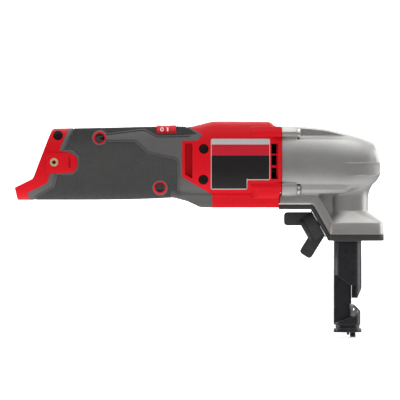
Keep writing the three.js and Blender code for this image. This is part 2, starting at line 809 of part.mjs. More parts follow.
function terminalBlock() {
  const plate = slab(terminalRear, terminalFront).intersect(within);
  const stop = slab(stopRear, terminalFront).intersect(cavity(wallInset + shellWall + seatGap));
  return cutBy(plate.add(stop), [...screwPosts(), ...bladePlaces().map((z) => bladeBox(z, seatGap))]);
}

function bladePlaces() {
  return Array.from({ length: bladeCount }, (_, i) => axisHeight + (i - (bladeCount - 1) / 2) * bladeSpacing);
}

function bladeBox(z, gap) {
  return block([terminalRear - bladeLength, -bladeHeight / 2 - gap, z - bladeThickness / 2 - gap],
    [terminalFront - bladeThickness + gap, bladeHeight / 2 + gap, z + bladeThickness / 2 + gap]);
}

function controlBoard() {
  return block([boardRear + ribThickness, -widest, boardHeight],
    [boardRear + boardLength, widest, boardHeight + boardThickness]).intersect(within);
}

function boardChoke() {
  const x = boardRear + boardLength / 2;
  const base = boardHeight + boardThickness + seatGap;
  return moved(tube(chokeRadius, chokeRadius / 2, base, base + chokeHeight, 'z', medium), x, 0, 0);
}

// Motor

function motorCan() {
  const inner = motorRadius - canWall;
  const seat = bearingRadius + seatGap;
  return turned([[inner, motorRear], [motorRadius, motorRear], [motorRadius, canFront],
    [seat + canWall, canFront], [seat + canWall, canFront + bearingWidth / 2], [seat, canFront + bearingWidth / 2],
    [seat, canFront - bearingWidth / 2], [seat + canWall, canFront - canWall], [inner, canFront - canWall]],
  'x', fine);
}

function motorCap() {
  const seat = bearingRadius + seatGap;
  const rim = motorRadius - canWall - seatGap;
  const face = motorRear + seatGap;
  return turned([[seat, face - canWall], [rim, face - canWall], [rim, face + canWall],
    [seat + canWall, face + canWall], [seat, face + bearingWidth - canWall]], 'x', fine);
}

function motorMagnet(side) {
  const outside = motorRadius - canWall - seatGap;
  const arc = (radius, order) => Array.from({ length: coarse }, (_, i) => {
    const turn = order * (i / (coarse - 1) - 0.5) * magnetArc;
    return [side * radius * Math.cos(turn), radius * Math.sin(turn)];
  });
  const outline = [...arc(outside, 1), ...arc(outside - magnetThickness, -1)];
  const from = motorRear + bearingWidth + commutatorLength;
  return moved(prism(outline, from, canFront - canWall - seatGap, 'x'), 0, 0, axisHeight);
}

const armatureRear = motorRear + bearingWidth + commutatorLength + shaftRadius;
const armatureFront = canFront - bearingWidth - shaftRadius;

function armature() {
  const root = armatureRadius * (1 - slotDepthShare);
  const outline = Array.from({ length: armatureSlots }, (_, i) => {
    const pitch = 2 * Math.PI / armatureSlots;
    const edge = pitch * (1 - slotOpenShare) / 2;
    const tooth = [[-edge, armatureRadius], [0, armatureRadius], [edge, armatureRadius], [edge, root],
      [pitch - edge, root]];
    return tooth.map(([turn, radius]) => [radius * Math.cos(i * pitch + turn), radius * Math.sin(i * pitch + turn)]);
  }).flat();
  const bore = circle(shaftRadius + seatGap, coarse);
  return prism(outline, armatureRear, armatureFront, 'x', [bore]);
}

function commutator() {
  return tube(commutatorRadius, shaftRadius + seatGap, armatureRear - shaftRadius - commutatorLength + seatGap,
    armatureRear - seatGap, 'x', medium);
}

function fan() {
  const disc = tube(fanRadius, shaftRadius + seatGap, fanRear, fanRear + fanDisc, 'x', fine);
  const hub = tube(bearingRadius, shaftRadius + seatGap, fanRear, fanFront - runGap, 'x', medium);
  const blade = block([fanRear, bearingRadius - fanDisc, -fanBladeThickness / 2],
    [fanFront - runGap, fanRadius - fanDisc, fanBladeThickness / 2]);
  const blades = Array.from({ length: fanBlades }, (_, i) => blade.rotate([i * 360 / fanBlades, 0, 0]));
  return joined([disc, hub, ...blades]);
}

function ballBearing(outside, bore, from, width) {
  return tube(outside, bore, from, from + width, 'x', medium);
}

// Gears

const plateFront = -headRear + seatGap;
const gearRear = plateFront + seatGap + runGap;
const gearFront = gearRear + gearWidth;
const carrierRear = gearFront + runGap;
const carrierFront = carrierRear + carrierThickness;
const sunRadius = gearModule * sunTeeth / 2;
const planetRadius = gearModule * planetTeeth / 2;
const ringRadius = gearModule * ringTeeth / 2;
const planetOrbit = sunRadius + planetRadius;

function gearOutline(teeth, tip, root, turnShare) {
  const pitch = 2 * Math.PI / teeth;
  return Array.from({ length: teeth }, (_, i) => {
    const middle = (i + turnShare) * pitch;
    const halfTip = pitch * toothTipShare / 2;
    const halfRoot = pitch * toothPitchRootShare / 2;
    return [[-halfRoot, root], [-halfTip, tip], [halfTip, tip], [halfRoot, root]].map(
      ([turn, radius]) => [radius * Math.cos(middle + turn), radius * Math.sin(middle + turn)]);
  }).flat();
}

const addendum = gearModule * addendumShare;
const dedendum = gearModule * dedendumShare;

function sunGear() {
  return prism(gearOutline(sunTeeth, sunRadius + addendum, sunRadius - dedendum, 0), gearRear, gearFront, 'x');
}

function planetGear(i) {
  const turn = i * 2 * Math.PI / planetCount;
  const gear = prism(gearOutline(planetTeeth, planetRadius + addendum, planetRadius - dedendum, 0),
    gearRear, gearFront, 'x', [circle(planetPinRadius + runGap, coarse)]);
  return moved(gear, 0, planetOrbit * Math.cos(turn), axisHeight + planetOrbit * Math.sin(turn));
}

function ringGear() {
  const rim = circle(ringRadius + dedendum + ringRim, fine);
  const gear = prism(rim, gearRear, gearFront, 'x',
    [gearOutline(ringTeeth, ringRadius - addendum, ringRadius + dedendum, 0.5)]);
  return moved(gear, 0, 0, axisHeight);
}

// Crank train, drawn about its axis and set on the motor axis

const crankBearingRear = carrierFront + runGap;
const secondBearingRear = crankBearingRear + crankBearingWidth + seatGap;
const webRear = secondBearingRear + crankBearingWidth + runGap;
const webFrontFace = webRear + crankWeb;
const throwLength = stroke / 2;

function crankShaft() {
  const shaft = rod(crankRadius, carrierRear, webRear, 'x', medium);
  const web = rod(crankRadius + throwLength, webRear, webFrontFace, 'x', medium);
  const pin = moved(rod(eccentricRadius, webRear, eccentricWidth / 2 + runGap, 'x', medium), 0, 0, -throwLength);
  return moved(joined([shaft, web, pin]), 0, 0, axisHeight);
}

function planetCarrier() {
  const disc = tube(planetOrbit + planetPinRadius + carrierRim, crankRadius + seatGap, carrierRear, carrierFront, 'x', fine);
  const pins = Array.from({ length: planetCount }, (_, i) => {
    const turn = i * 2 * Math.PI / planetCount;
    const pin = rod(planetPinRadius, gearRear, carrierFront, 'x', coarse);
    return moved(pin, 0, planetOrbit * Math.cos(turn), planetOrbit * Math.sin(turn));
  });
  return moved(joined([disc, ...pins]), 0, 0, axisHeight);
}

function eccentricBearing() {
  const ring = tube(eccentricRing, eccentricRadius + seatGap, -eccentricWidth / 2, eccentricWidth / 2, 'x', medium);
  return moved(ring, 0, 0, axisHeight - throwLength);
}

// Plunger: a yoke whose window clears the whole circle of the eccentric at every height of the stroke

const yokeMiddle = axisHeight - throwLength;
const windowHalfHeight = eccentricRing + stroke + runGap;
const windowHalfWidth = eccentricRing + throwLength + runGap;
const yokeBottom = yokeMiddle - windowHalfHeight - yokeWall;
const yokeTop = yokeMiddle + windowHalfHeight + yokeWall;
const yokeHalfWidth = windowHalfWidth + yokeWall;
const plungerFoot = guideRise + stroke + punchHeadHeight;
const socketRoof = plungerFoot + 2 * punchHeadHeight;
const socketFloor = socketRoof - punchHeadHeight - 2 * seatGap;

function plunger() {
  const yoke = block([-yokeHalfLength, -yokeHalfWidth, yokeBottom], [yokeHalfLength, yokeHalfWidth, yokeTop]);
  const windowCut = block([-yokeHalfLength - overrun, -windowHalfWidth, yokeMiddle - windowHalfHeight],
    [yokeHalfLength + overrun, windowHalfWidth, yokeMiddle + windowHalfHeight]);
  const headBore = punchHeadRadius + runGap;
  const shankBore = punchRadius + runGap;
  const stem = turned([[0, socketRoof], [headBore, socketRoof], [headBore, socketFloor], [shankBore, socketFloor],
    [shankBore, plungerFoot], [plungerRadius, plungerFoot], [plungerRadius, yokeBottom + yokeWall],
    [0, yokeBottom + yokeWall]], 'z', medium);
  return joined([yoke.subtract(windowCut), stem]);
}

const bladeFront = webFront + punchBladeThickness;
const bladeRear = webFront + seatGap;

function punch() {
  const head = rod(punchHeadRadius, socketFloor + seatGap, socketRoof - seatGap, 'z', medium);
  const shank = rod(punchRadius, punchTip, socketRoof - seatGap, 'z', medium);
  const blade = block([0, -bladeHalfWidth, punchTip], [bladeFront, bladeHalfWidth, punchBladeTop]).subtract(
    block([-overrun, -widest, punchTip - overrun], [bladeRear, -punchRadius / 2, punchBladeTop + overrun])).subtract(
    block([-overrun, punchRadius / 2, punchTip - overrun], [bladeRear, widest, punchBladeTop + overrun]));
  return joined([head, shank, blade]);
}

function guideBush() {
  const base = tubeTop + seatGap;
  return tube(bushRadius, plungerRadius + runGap, base, base + bushLength, 'z', medium);
}

// Gear case

function caseForm() {
  const reach = (along) => along * (along < 0 ? headRear : noseReach);
  return skin(caseShares.map(([along, top, bottom, half]) => section(reach(along),
    axisHeight + top * caseHalfHeight, axisHeight + bottom * caseHalfHeight, half * caseHalfWidth)));
}

function neckForm() {
  const rise = axisHeight - neckBottom;
  const profile = neckShares.map(([wide, up]) => [neckRadius * wide, neckBottom + rise * up]);
  const flare = turned([[0, neckBottom - seatGap], [neckRadius, neckBottom - seatGap], ...profile,
    [0, profile.at(-1)[1]]], 'z', fine);
  return moved(flare, neckForward, 0, 0);
}

const strutLean = Math.tan(strutAngle);
const strutTop = -strutFoot - (flangeBottom - collarBottom) * strutLean;
const strutLine = [[-flangeRear, flangeBottom], [strutTop, flangeBottom], [-strutFoot, collarBottom]];

// The collar's rear ends in the plane of the strut's outer face
function collarForm() {
  const shoulder = collarBottom + collarWall;
  const past = [overrun * strutLean - strutFoot, collarBottom - overrun];
  const outside = [[strutTop, flangeBottom], past, [-flangeRear, past[1]], [-flangeRear, flangeBottom]];
  return skin([
    plan(collarBottom, collarForward, collarHalfLength, collarHalfWidth, collarSquareness),
    plan(shoulder, collarForward, collarHalfLength - seatGap, collarHalfWidth - seatGap, collarSquareness),
    plan(neckBottom, neckForward, neckRadius, neckRadius, 2),
  ]).subtract(prism(anticlockwise(outside), -widest, widest, 'y'));
}

function strutForm() {
  const root = strutTop + strutWidth - (caseFloor - flangeBottom) * strutLean;
  const band = [...strutLine, [-strutFoot + strutWidth, collarBottom], [strutTop + strutWidth, flangeBottom],
    [root, caseFloor], [root, flangeRoot], [-flangeRear + flangeStep, flangeRoot], [-flangeRear, caseFloor]];
  const web = [[strutTop, flangeBottom], [-strutFoot, collarBottom], [0, collarBottom], [0, flangeRoot],
    [strutTop, flangeRoot]];
  return [prism(anticlockwise(band), -flangeHalfWidth, flangeHalfWidth, 'y'),
    prism(anticlockwise(web), -pocketHalfWidth, pocketHalfWidth, 'y')];
}

const bossFront = -headRear + caseBossLength;

// Channels in front of the case screws: the upper ones open upward, the lower ones fade out before the nose
function caseScoops() {
  const length = scoopEnd - bossFront;
  const scoops = [1, -1].map((side) => {
    const across = (shares, rise) => anticlockwise(
      shares.map((share) => roundCaseScrew(share, side, rise, scoopRadius)));
    const upper = prism(across(upperScoopShares, upperCaseScrewRise), bossFront, noseReach, 'x');
    const rings = scoopFades.map(([run, size, shift]) => across(
      lowerScoopShares.map(([out, up]) => [out * size + shift, up * size]), -lowerCaseScrewDrop)
      .map(([y, z]) => new THREE.Vector3(bossFront + run * length, y, z)));
    return joined([upper, skin(rings)]);
  });
  return [...scoops, ...atCaseScrews(rod(scoopRadius, bossFront, bossFront + caseScrewHeadHeight, 'x', medium))];
}

function caseBores() {
  const ringSeat = ringRadius + dedendum + ringRim + seatGap;
  const bearingSeat = crankBearingRadius + seatGap;
  const carrierRoom = planetOrbit + planetPinRadius + carrierRim + runGap;
  const train = turned([[0, -headRear - overrun], [ringSeat, -headRear - overrun], [ringSeat, gearFront + seatGap],
    [carrierRoom, gearFront + seatGap], [carrierRoom, crankBearingRear - seatGap],
    [bearingSeat, crankBearingRear - seatGap], [bearingSeat, webFrontFace + runGap], [0, webFrontFace + runGap]],
  'x', fine);
  const room = block([webRear - runGap, -yokeHalfWidth - runGap, tubeTop + seatGap + bushLength],
    [plungerRadius + 2 * runGap, yokeHalfWidth + runGap, yokeTop + stroke + runGap]);
  const tubeSeat = rod(tubeRadius + runGap, collarBottom - overrun, tubeTop, 'z', fine);
  const bushSeat = rod(bushRadius + seatGap, tubeTop - overrun, tubeTop + bushLength + 2 * seatGap, 'z', fine);
  return [moved(train, 0, 0, axisHeight), room, tubeSeat, bushSeat];
}

function caseScrewHoles() {
  return atCaseScrews(rod(caseScrewRadius + seatGap, -headRear - overrun, bossFront + overrun, 'x', coarse));
}

function caseScrew(y, z) {
  const tip = bossFront - caseScrewLength;
  const top = bossFront + caseScrewHeadHeight;
  const body = turned([[0, tip], [caseScrewRadius, tip], [caseScrewRadius, bossFront], [caseScrewHead, bossFront],
    [caseScrewHead, top], [driveRadius, top], [driveRadius, top - driveDepth], [0, top - driveDepth]], 'x', coarse);
  return moved(body, 0, y, axisHeight + z);
}

// The slanted line of the knob, from the hub's inner face outward

const outward = new THREE.Vector3(-Math.cos(strutAngle), 0, -Math.sin(strutAngle));
const faceHeight = collarBottom + knobRise;
const strutPoint = new THREE.Vector3(-strutFoot - knobRise * strutLean, 0, faceHeight);
const guardFace = seatGap + guardStrutThickness;
const hubFace = guardFace + seatGap + washerThickness + seatGap;
const knobTurn = new THREE.Matrix4().makeBasis(
  new THREE.Vector3(Math.sin(strutAngle), 0, -Math.cos(strutAngle)), new THREE.Vector3(0, -1, 0), outward)
  .setPosition(strutPoint);

function onKnobLine(body) {
  const m = knobTurn.elements;
  return body.transform([...m]);
}

const tubeDistance = (-strutPoint.x - tubeRadius) / Math.cos(strutAngle) - studRadius * strutLean;

function knobHole() {
  return onKnobLine(rod(studRadius + runGap, -tubeDistance - tubeRadius, guardFace + overrun, 'z', medium));
}

function caseBosses() {
  return [1, -1].flatMap((side) => [
    [upperCaseBossShares, upperCaseScrewRise], [lowerCaseBossShares, -lowerCaseScrewDrop],
  ].map(([shares, rise]) => prism(
    anticlockwise(shares.map((share) => roundCaseScrew(share, side, rise, caseBossRadius))),
    -headRear, bossFront, 'x')));
}

function gearCase() {
  const body = joined([caseForm(), neckForm(), collarForm(), ...strutForm(), ...caseBosses()]);
  const rearFace = block([-flangeRear - overrun, -widest, axisHeight - caseHalfHeight], [-headRear, widest, above]);
  return cutBy(body, [...caseBores(), ...caseScoops(), ...caseScrewHoles(), knobHole(), rearFace]);
}

function gearPlate() {
  const outside = ringRadius + dedendum + ringRim;
  const body = tube(outside, sunRadius + addendum + runGap, housingFront - gearPlateThickness + seatGap,
    plateFront, 'x', fine);
  return moved(body, 0, 0, axisHeight);
}

// Guard

function lowerGuard() {
  const line = [[-guardRear, flangeBottom], ...strutLine.slice(1), [0, collarBottom]];
  const near = beside(line, -seatGap);
  const far = besideEach(line, [guardThickness, guardStrutThickness, guardThickness].map((t) => -seatGap - t));
  const band = prism(anticlockwise([...near, ...far.reverse()]), -guardHalfWidth, guardHalfWidth, 'y');
  const floor = collarBottom - seatGap;
  const plate = skin([
    plan(floor - guardThickness, collarForward, collarHalfLength - seatGap, collarHalfWidth - seatGap,
      collarSquareness),
    plan(floor, collarForward, collarHalfLength, collarHalfWidth, collarSquareness),
  ]);
  const bore = rod(tubeRadius + runGap, floor - guardThickness - overrun, floor + overrun, 'z', fine);
  const stem = onKnobLine(rod(studRadius + runGap, -guardThickness, guardFace + overrun, 'z', medium));
  return cutBy(joined([band, plate]), [bore, stem]);
}

// Clamp knob, drawn about its own line with the strut's face at zero

function clampKnob() {
  const ribs = Array.from({ length: knobRibs * 2 }, (_, i) => {
    const turn = i * Math.PI / knobRibs;
    const radius = knobRadius - (i % 2) * ribDepth;
    return [radius * Math.cos(turn), radius * Math.sin(turn)];
  });
  const hub = prism(ribs, hubFace, hubFace + knobHub, 'z');
  const plate = rod(knobRadius * knobPlateShare, hubFace + knobHub, hubFace + knobHub + knobPlate, 'z', fine);
  const wings = [1, -1].map((side) => wing(side));
  const bore = rod(studRadius + seatGap, hubFace - overrun, hubFace + knobHub, 'z', medium);
  return joined([hub, plate, ...wings]).subtract(bore);
}

function wing(side) {
  const root = wingReach * wingRootShare;
  const straight = wingReach - wingCorner;
  const half = wingWidth / 2;
  const bend = Array.from({ length: cornerSteps + 1 }, (_, i) => {
    const turn = i * Math.PI / 2 / cornerSteps;
    return [straight + wingCorner * Math.sin(turn), half - wingCorner + wingCorner * Math.cos(turn)];
  });
  const outline = [[root, -half], ...bend.map(([u, v]) => [u, -v]), ...bend.reverse(), [root, half]];
  const bar = prism(outline, -wingThickness / 2, wingThickness / 2, 'z');
  const lean = THREE.MathUtils.radToDeg(wingAngle) * side;
  const upright = bar.rotate([90, 0, 0]).rotate([0, -90 + lean, 0]);
  const behindFace = block([-widest, -widest, -widest], [widest, widest, hubFace + seatGap]);
  return moved(upright, 0, 0, hubFace - wingCross).subtract(behindFace);
}

function knobStud() {
  return rod(studRadius, -tubeDistance + runGap, hubFace + knobHub - seatGap, 'z', medium);
}

function knobWasher() {
  const face = guardFace + seatGap;
  return tube(washerRadius, studRadius + runGap, face, face + washerThickness, 'z', medium);
}

// Die holder, turned about the punch axis

function throatSides() {
  const outline = [[-tubeRadius - overrun, scoopBottom], [-tubeRadius, scoopBottom], [webFront, scoopBottomFront],
    [webFront, scoopTopFront], [-scoopTopRear, scoopTop], [-tubeRadius - overrun, scoopTop]];
  const side = prism(anticlockwise(outline), webHalfWidth, tubeRadius + overrun, 'y');
  return [side, mirrored(side)];
}

function noseSlots() {
  const side = block([webFront, noseFlat + seatGap, throatBottom],
    [noseSlotFront, tubeRadius + overrun, noseSlotTop]);
  return [side, mirrored(side)];
}

const onDie = ([along, up]) => [
  webFront + along * (dieFront - webFront), dieBottom + up * (throatBottom - dieBottom)];
const dieOutline = dieShares.map(onDie);

function dieHolder() {
  const bore = plungerRadius + runGap;
  const shank = punchRadius + runGap;
  const ringTop = dieRingHeight + seatGap;
  const body = turned([[0, ringTop], [neckRingRadius, ringTop], [neckRingRadius, tubeBottom],
    [tubeRadius, tubeBottom], [tubeRadius, tubeTop - runGap], [bore, tubeTop - runGap], [bore, guideRise],
    [0, guideRise]], 'z', fine);
  const shankBore = rod(shank, dieBottom, guideRise + overrun, 'z', medium);
  const bladeWay = block([0, -bladeHalfWidth - runGap, dieBottom],
    [bladeFront + runGap, bladeHalfWidth + runGap, punchBladeTop + stroke + runGap]).subtract(
    block([-overrun, -widest, 0], [webFront, widest, guideRise]));
  const throat = block([webFront, -widest, throatBottom], [tubeRadius + overrun, widest, throatTop]);
  const past = tubeRadius + overrun;
  const upperNose = prism(anticlockwise([[noseChamferFront, throatTop - seatGap], [past, throatTop - seatGap],
    [past, noseChamferTop], [tubeRadius, noseChamferTop]]), -widest, widest, 'y');
  const lowerNose = prism(anticlockwise([[dieOutline[1][0], throatBottom], [lowerNoseFront, lowerNoseTop],
    [lowerNoseFront, tubeBottom], [past, tubeBottom], [past, throatBottom + seatGap],
    [dieOutline[1][0], throatBottom + seatGap]]), -widest, widest, 'y');
  const dieSeat = prism(grown(anticlockwise(dieOutline), seatGap), -widest, widest, 'y');
  return cutBy(body, [...throatSides(), ...noseSlots(), shankBore, bladeWay, throat, upperNose, lowerNose, dieSeat,
    ...dieScrewHoles(seatGap)]);
}

function cuttingDie() {
  const body = prism(anticlockwise(dieOutline), -dieHalfLength, dieHalfLength, 'y');
  const round = rod(tubeRadius - seatGap, 0, tubeTop, 'z', fine);
  const notch = block([-overrun, -bladeHalfWidth - seatGap, dieBottom - overrun],
    [bladeFront + seatGap, bladeHalfWidth + seatGap, throatTop]);
  const [eyeX, eyeZ] = onDie(dieEyeShares);
  const eye = moved(rod(dieEyeRadius, -widest, widest, 'y', coarse), eyeX, 0, eyeZ);
  return cutBy(body.intersect(round), [notch, eye]);
}

function dieRing() {
  return cutBy(rod(tubeRadius, 0, dieRingHeight, 'z', fine), dieScrewHoles(seatGap));
}

function dieScrewHoles(gap) {
  const top = dieRingHeight + seatGap + dieScrewDepth + gap;
  const screws = [[largeScrewPlace, largeScrewRadius], [smallScrewPlace, smallScrewRadius]];
  return screws.map(([[x, y], radius]) => moved(rod(radius + gap, -overrun, top, 'z', coarse), x, y, 0));
}

function dieScrew([x, y], radius, drop) {
  return moved(rod(radius, -drop, dieRingHeight + seatGap + dieScrewDepth, 'z', coarse), x, y, 0);
}

// Finishes

const finish = (color, roughness, metalness) => () => new THREE.MeshStandardMaterial(
  { color, roughness, metalness, flatShading: true });
const red = finish(0xd01d2c, 0.45, 0);
const grey = finish(0x57595a, 0.8, 0);
const castMetal = finish(0xa3a29d, 0.4, 0.8);
const black = finish(0x2f2f30, 0.6, 0);
const blackSteel = finish(0x3a3b3d, 0.4, 0.7);
const brightSteel = finish(0xb4b2ad, 0.3, 0.9);
const darkSteel = finish(0x2b2b2c, 0.45, 0.7);
const brass = finish(0xc9a35a, 0.35, 0.9);
const copper = finish(0xb4683c, 0.4, 0.9);
const silverPlate = finish(0xc9c9c8, 0.5, 0.1);
const boardGreen = finish(0x1f5a3a, 0.6, 0);

// Assembly

const nibbler = new THREE.Group();

function add(name, body, material, parent = nibbler) {
  const mesh = body.getMesh();
  const geometry = new THREE.BufferGeometry();
  geometry.setAttribute('position', new THREE.BufferAttribute(new Float32Array(mesh.vertProperties), 3));
  geometry.setIndex([...mesh.triVerts]);
  geometry.computeVertexNormals();
  const piece = new THREE.Mesh(geometry, material());
  piece.name = name;
  parent.add(piece);
}

add('right_housing', rightHousing(), red);
add('left_housing', leftHousing(), red);
add('right_grip', rightGrip(), grey);
add('left_grip', mirrored(rightGrip()), grey);
screwPlaces.forEach((_, i) => add(`housing_screw_${i + 1}`, housingScrew(i), darkSteel));
add('right_side_plate', sidePlate(), silverPlate);
add('left_side_plate', mirrored(sidePlate()), silverPlate);
add('right_clip_insert', clipInsert(), brass);
add('left_clip_insert', mirrored(clipInsert()), brass);
add('power_slide', powerSlide(), red);

add('terminal_block', terminalBlock(), black);
bladePlaces().forEach((z, i) => add(`terminal_blade_${i + 1}`, bladeBox(z, 0), brass));
add('control_board', controlBoard(), boardGreen);
add('board_choke', boardChoke(), copper);
add('switch_module', switchModule(), black);

const motor = new THREE.Group();
motor.position.z = axisHeight;
nibbler.add(motor);
add('motor_can', motorCan(), brightSteel, motor);
add('motor_end_cap', motorCap(), black, motor);
add('motor_magnet_1', motorMagnet(1), darkSteel);
add('motor_magnet_2', motorMagnet(-1), darkSteel);
const motorBearings = { rear: motorRear - canWall + seatGap, front: canFront - bearingWidth / 2 };
Object.entries(motorBearings).forEach(([end, x]) => add(`${end}_motor_bearing`,
  ballBearing(bearingRadius, shaftRadius + runGap, x, bearingWidth), brightSteel, motor));
add('motor_shaft', rod(shaftRadius, motorRear - canWall, gearRear - seatGap, 'x', medium), brightSteel, motor);
add('armature', armature(), copper, motor);
add('commutator', commutator(), copper, motor);
add('cooling_fan', fan(), black, motor);
add('sun_pinion', sunGear(), brightSteel, motor);

add('gear_plate', gearPlate(), brightSteel);
add('ring_gear', ringGear(), brightSteel);
for (let i = 0; i < planetCount; i++) add(`planet_gear_${i + 1}`, planetGear(i), brightSteel);
add('planet_carrier', planetCarrier(), brightSteel);
add('crank_shaft', crankShaft(), brightSteel);
[crankBearingRear, secondBearingRear].forEach((x, i) => add(`crank_bearing_${i + 1}`,
  moved(ballBearing(crankBearingRadius, crankRadius + runGap, x, crankBearingWidth), 0, 0, axisHeight), brightSteel));
add('eccentric_bearing', eccentricBearing(), brightSteel);
add('plunger', plunger(), brightSteel);
add('guide_bush', guideBush(), brass);

add('gear_case', gearCase(), castMetal);
caseScrewPlaces.forEach(([y, z], i) => add(`case_screw_${i + 1}`, caseScrew(y, z), darkSteel));
add('lower_guard', lowerGuard(), black);

const knob = new THREE.Group();
knobTurn.decompose(knob.position, knob.quaternion, knob.scale);
nibbler.add(knob);
add('clamp_knob', clampKnob(), black, knob);
add('knob_stud', knobStud(), brightSteel, knob);
add('knob_washer', knobWasher(), brightSteel, knob);

add('die_holder', dieHolder(), blackSteel);
add('cutting_die', cuttingDie(), brightSteel);
add('die_ring', dieRing(), blackSteel);
add('large_die_screw', dieScrew(largeScrewPlace, largeScrewRadius, largeScrewDrop), darkSteel);
add('small_die_screw', dieScrew(smallScrewPlace, smallScrewRadius, smallScrewDrop), darkSteel);
add('punch', punch(), brightSteel);

export default nibbler;
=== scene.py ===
# Cordless inline nibbler, dressed for its portrait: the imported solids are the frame, and finer pieces with
# moulded, cast, turned and printed finishes stand in for the ones that show. Forms are drawn in millimetres
# and turned into metres when a piece is finished.
import json
import math

import bmesh
import bpy
from mathutils import Matrix, Vector

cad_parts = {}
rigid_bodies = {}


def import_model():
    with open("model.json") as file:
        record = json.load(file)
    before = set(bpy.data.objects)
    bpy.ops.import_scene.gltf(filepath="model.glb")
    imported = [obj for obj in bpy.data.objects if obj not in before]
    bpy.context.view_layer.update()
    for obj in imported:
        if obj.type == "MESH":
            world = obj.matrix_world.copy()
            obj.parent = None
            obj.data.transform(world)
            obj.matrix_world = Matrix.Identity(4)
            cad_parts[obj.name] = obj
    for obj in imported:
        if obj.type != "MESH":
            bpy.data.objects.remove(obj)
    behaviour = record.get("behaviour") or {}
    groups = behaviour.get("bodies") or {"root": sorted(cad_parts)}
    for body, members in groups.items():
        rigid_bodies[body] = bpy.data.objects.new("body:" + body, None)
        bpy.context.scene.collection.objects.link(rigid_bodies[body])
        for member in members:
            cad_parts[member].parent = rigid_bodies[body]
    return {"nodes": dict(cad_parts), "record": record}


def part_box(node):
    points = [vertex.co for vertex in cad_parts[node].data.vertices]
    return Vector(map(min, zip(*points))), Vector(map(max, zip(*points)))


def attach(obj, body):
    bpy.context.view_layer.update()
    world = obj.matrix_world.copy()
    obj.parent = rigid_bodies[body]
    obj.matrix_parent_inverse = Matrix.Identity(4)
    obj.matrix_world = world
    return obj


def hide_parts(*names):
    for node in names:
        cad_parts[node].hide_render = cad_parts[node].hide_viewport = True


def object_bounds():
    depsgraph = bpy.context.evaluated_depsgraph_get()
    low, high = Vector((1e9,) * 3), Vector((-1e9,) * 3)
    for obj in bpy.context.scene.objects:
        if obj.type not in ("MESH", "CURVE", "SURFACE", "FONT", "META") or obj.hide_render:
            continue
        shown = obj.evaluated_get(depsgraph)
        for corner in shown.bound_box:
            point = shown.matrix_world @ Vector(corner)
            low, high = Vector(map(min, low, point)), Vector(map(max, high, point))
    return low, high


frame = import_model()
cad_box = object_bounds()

MM = 0.001
SLIT = 0.06  # between moulded pieces that meet, as it shows
FAR = 60

# Heights and reaches that the solids share
AXIS = 121.8
HOUSING_FRONT = -48.0
HOUSING_REAR = -119.0
HANDLE_REAR = -239.0
HANDLE_LENGTH = HOUSING_REAR - HANDLE_REAR
MOTOR_LENGTH = HOUSING_FRONT - HOUSING_REAR
HANDLE_HALF = 25.8
HANDLE_WIDE = 23.5
MOTOR_HALF = 30.0
MOTOR_WIDE = 28.6
HEAD_REAR = -47.7
NOSE = 23.3
CASE_HALF = 26.4
CASE_WIDE = 25.8
SQUARENESS = 2.7
GRIP = 1.8
WALL = 4.4
SCREW_ACROSS, UPPER_SCREW, LOWER_SCREW = 17.5, 20.9, -19.1  # case screws, from the axis
SCREW_POCKET = -36.8
FLANGE_BOTTOM, COLLAR_BOTTOM, GUARD_BOTTOM = 92.4, 70.4, 65.9
TUBE = 10.1
TUBE_BORE = 10.45
PLACED = {"x": lambda u, v, h: (h, u, v), "y": lambda u, v, h: (u, h, v), "z": lambda u, v, h: (u, v, h)}

# Forms


def form(corners, faces):
    """A closed body from corners and faces, with its faces turned outward."""
    mesh = bpy.data.meshes.new("form")
    mesh.from_pydata(corners, [], faces)
    work = bmesh.new()
    work.from_mesh(mesh)
    bmesh.ops.recalc_face_normals(work, faces=work.faces)
    work.to_mesh(mesh)
    work.free()
    body = bpy.data.objects.new("form", mesh)
    bpy.context.scene.collection.objects.link(body)
    return body


def loft(rings):
    count = len(rings[0])
    corners = [point for ring in rings for point in ring]
    faces = [[k * count + i, k * count + (i + 1) % count, (k + 1) * count + (i + 1) % count,
              (k + 1) * count + i] for k in range(len(rings) - 1) for i in range(count)]
    last = (len(rings) - 1) * count
    return form(corners, faces + [list(range(count)), list(range(last, last + count))])


def prism(outline, low, high, axis="y"):
    place = PLACED[axis]
    return loft([[place(u, v, h) for u, v in outline] for h in (low, high)])


def block(low, high):
    return prism([(low[0], low[2]), (high[0], low[2]), (high[0], high[2]), (low[0], high[2])],
                 low[1], high[1])


def turned(profile, axis="z", steps=72, at=(0, 0, 0)):
    """A body turned from a closed profile of (radius, height) about an axis through a point."""
    place = PLACED[axis]
    corners, rows = [], []
    for radius, height in profile:
        turns = 1 if radius == 0 else steps
        rows.append(range(len(corners), len(corners) + turns))
        for t in (2 * math.pi * i / steps for i in range(turns)):
            spot = place(radius * math.cos(t), radius * math.sin(t), height)
            corners.append(tuple(c + d for c, d in zip(spot, at)))
    faces = []
    for here, there in zip(rows, rows[1:] + rows[:1]):
        for i in range(steps):
            j = (i + 1) % steps
            ring = [here[i % len(here)], here[j % len(here)], there[j % len(there)], there[i % len(there)]]
            face = list(dict.fromkeys(ring))
            if len(face) > 2:
                faces.append(face)
    return form(corners, faces)


def rod(radius, low, high, axis="z", at=(0, 0, 0), steps=48):
    return turned([(0, low), (radius, low), (radius, high), (0, high)], axis, steps, at)


def pin(radius, low, high, soft, axis="z", at=(0, 0, 0), steps=64):
    """A rod with both its edges softened."""
    rim = [(radius - soft * (1 - math.sin(a)), soft * (1 - math.cos(a)))
           for a in (0, math.pi / 4, math.pi / 2)]
    profile = [(0, low), *[(r, low + h) for r, h in rim],
               *[(r, high - h) for r, h in reversed(rim)], (0, high)]
    return turned(profile, axis, steps, at)


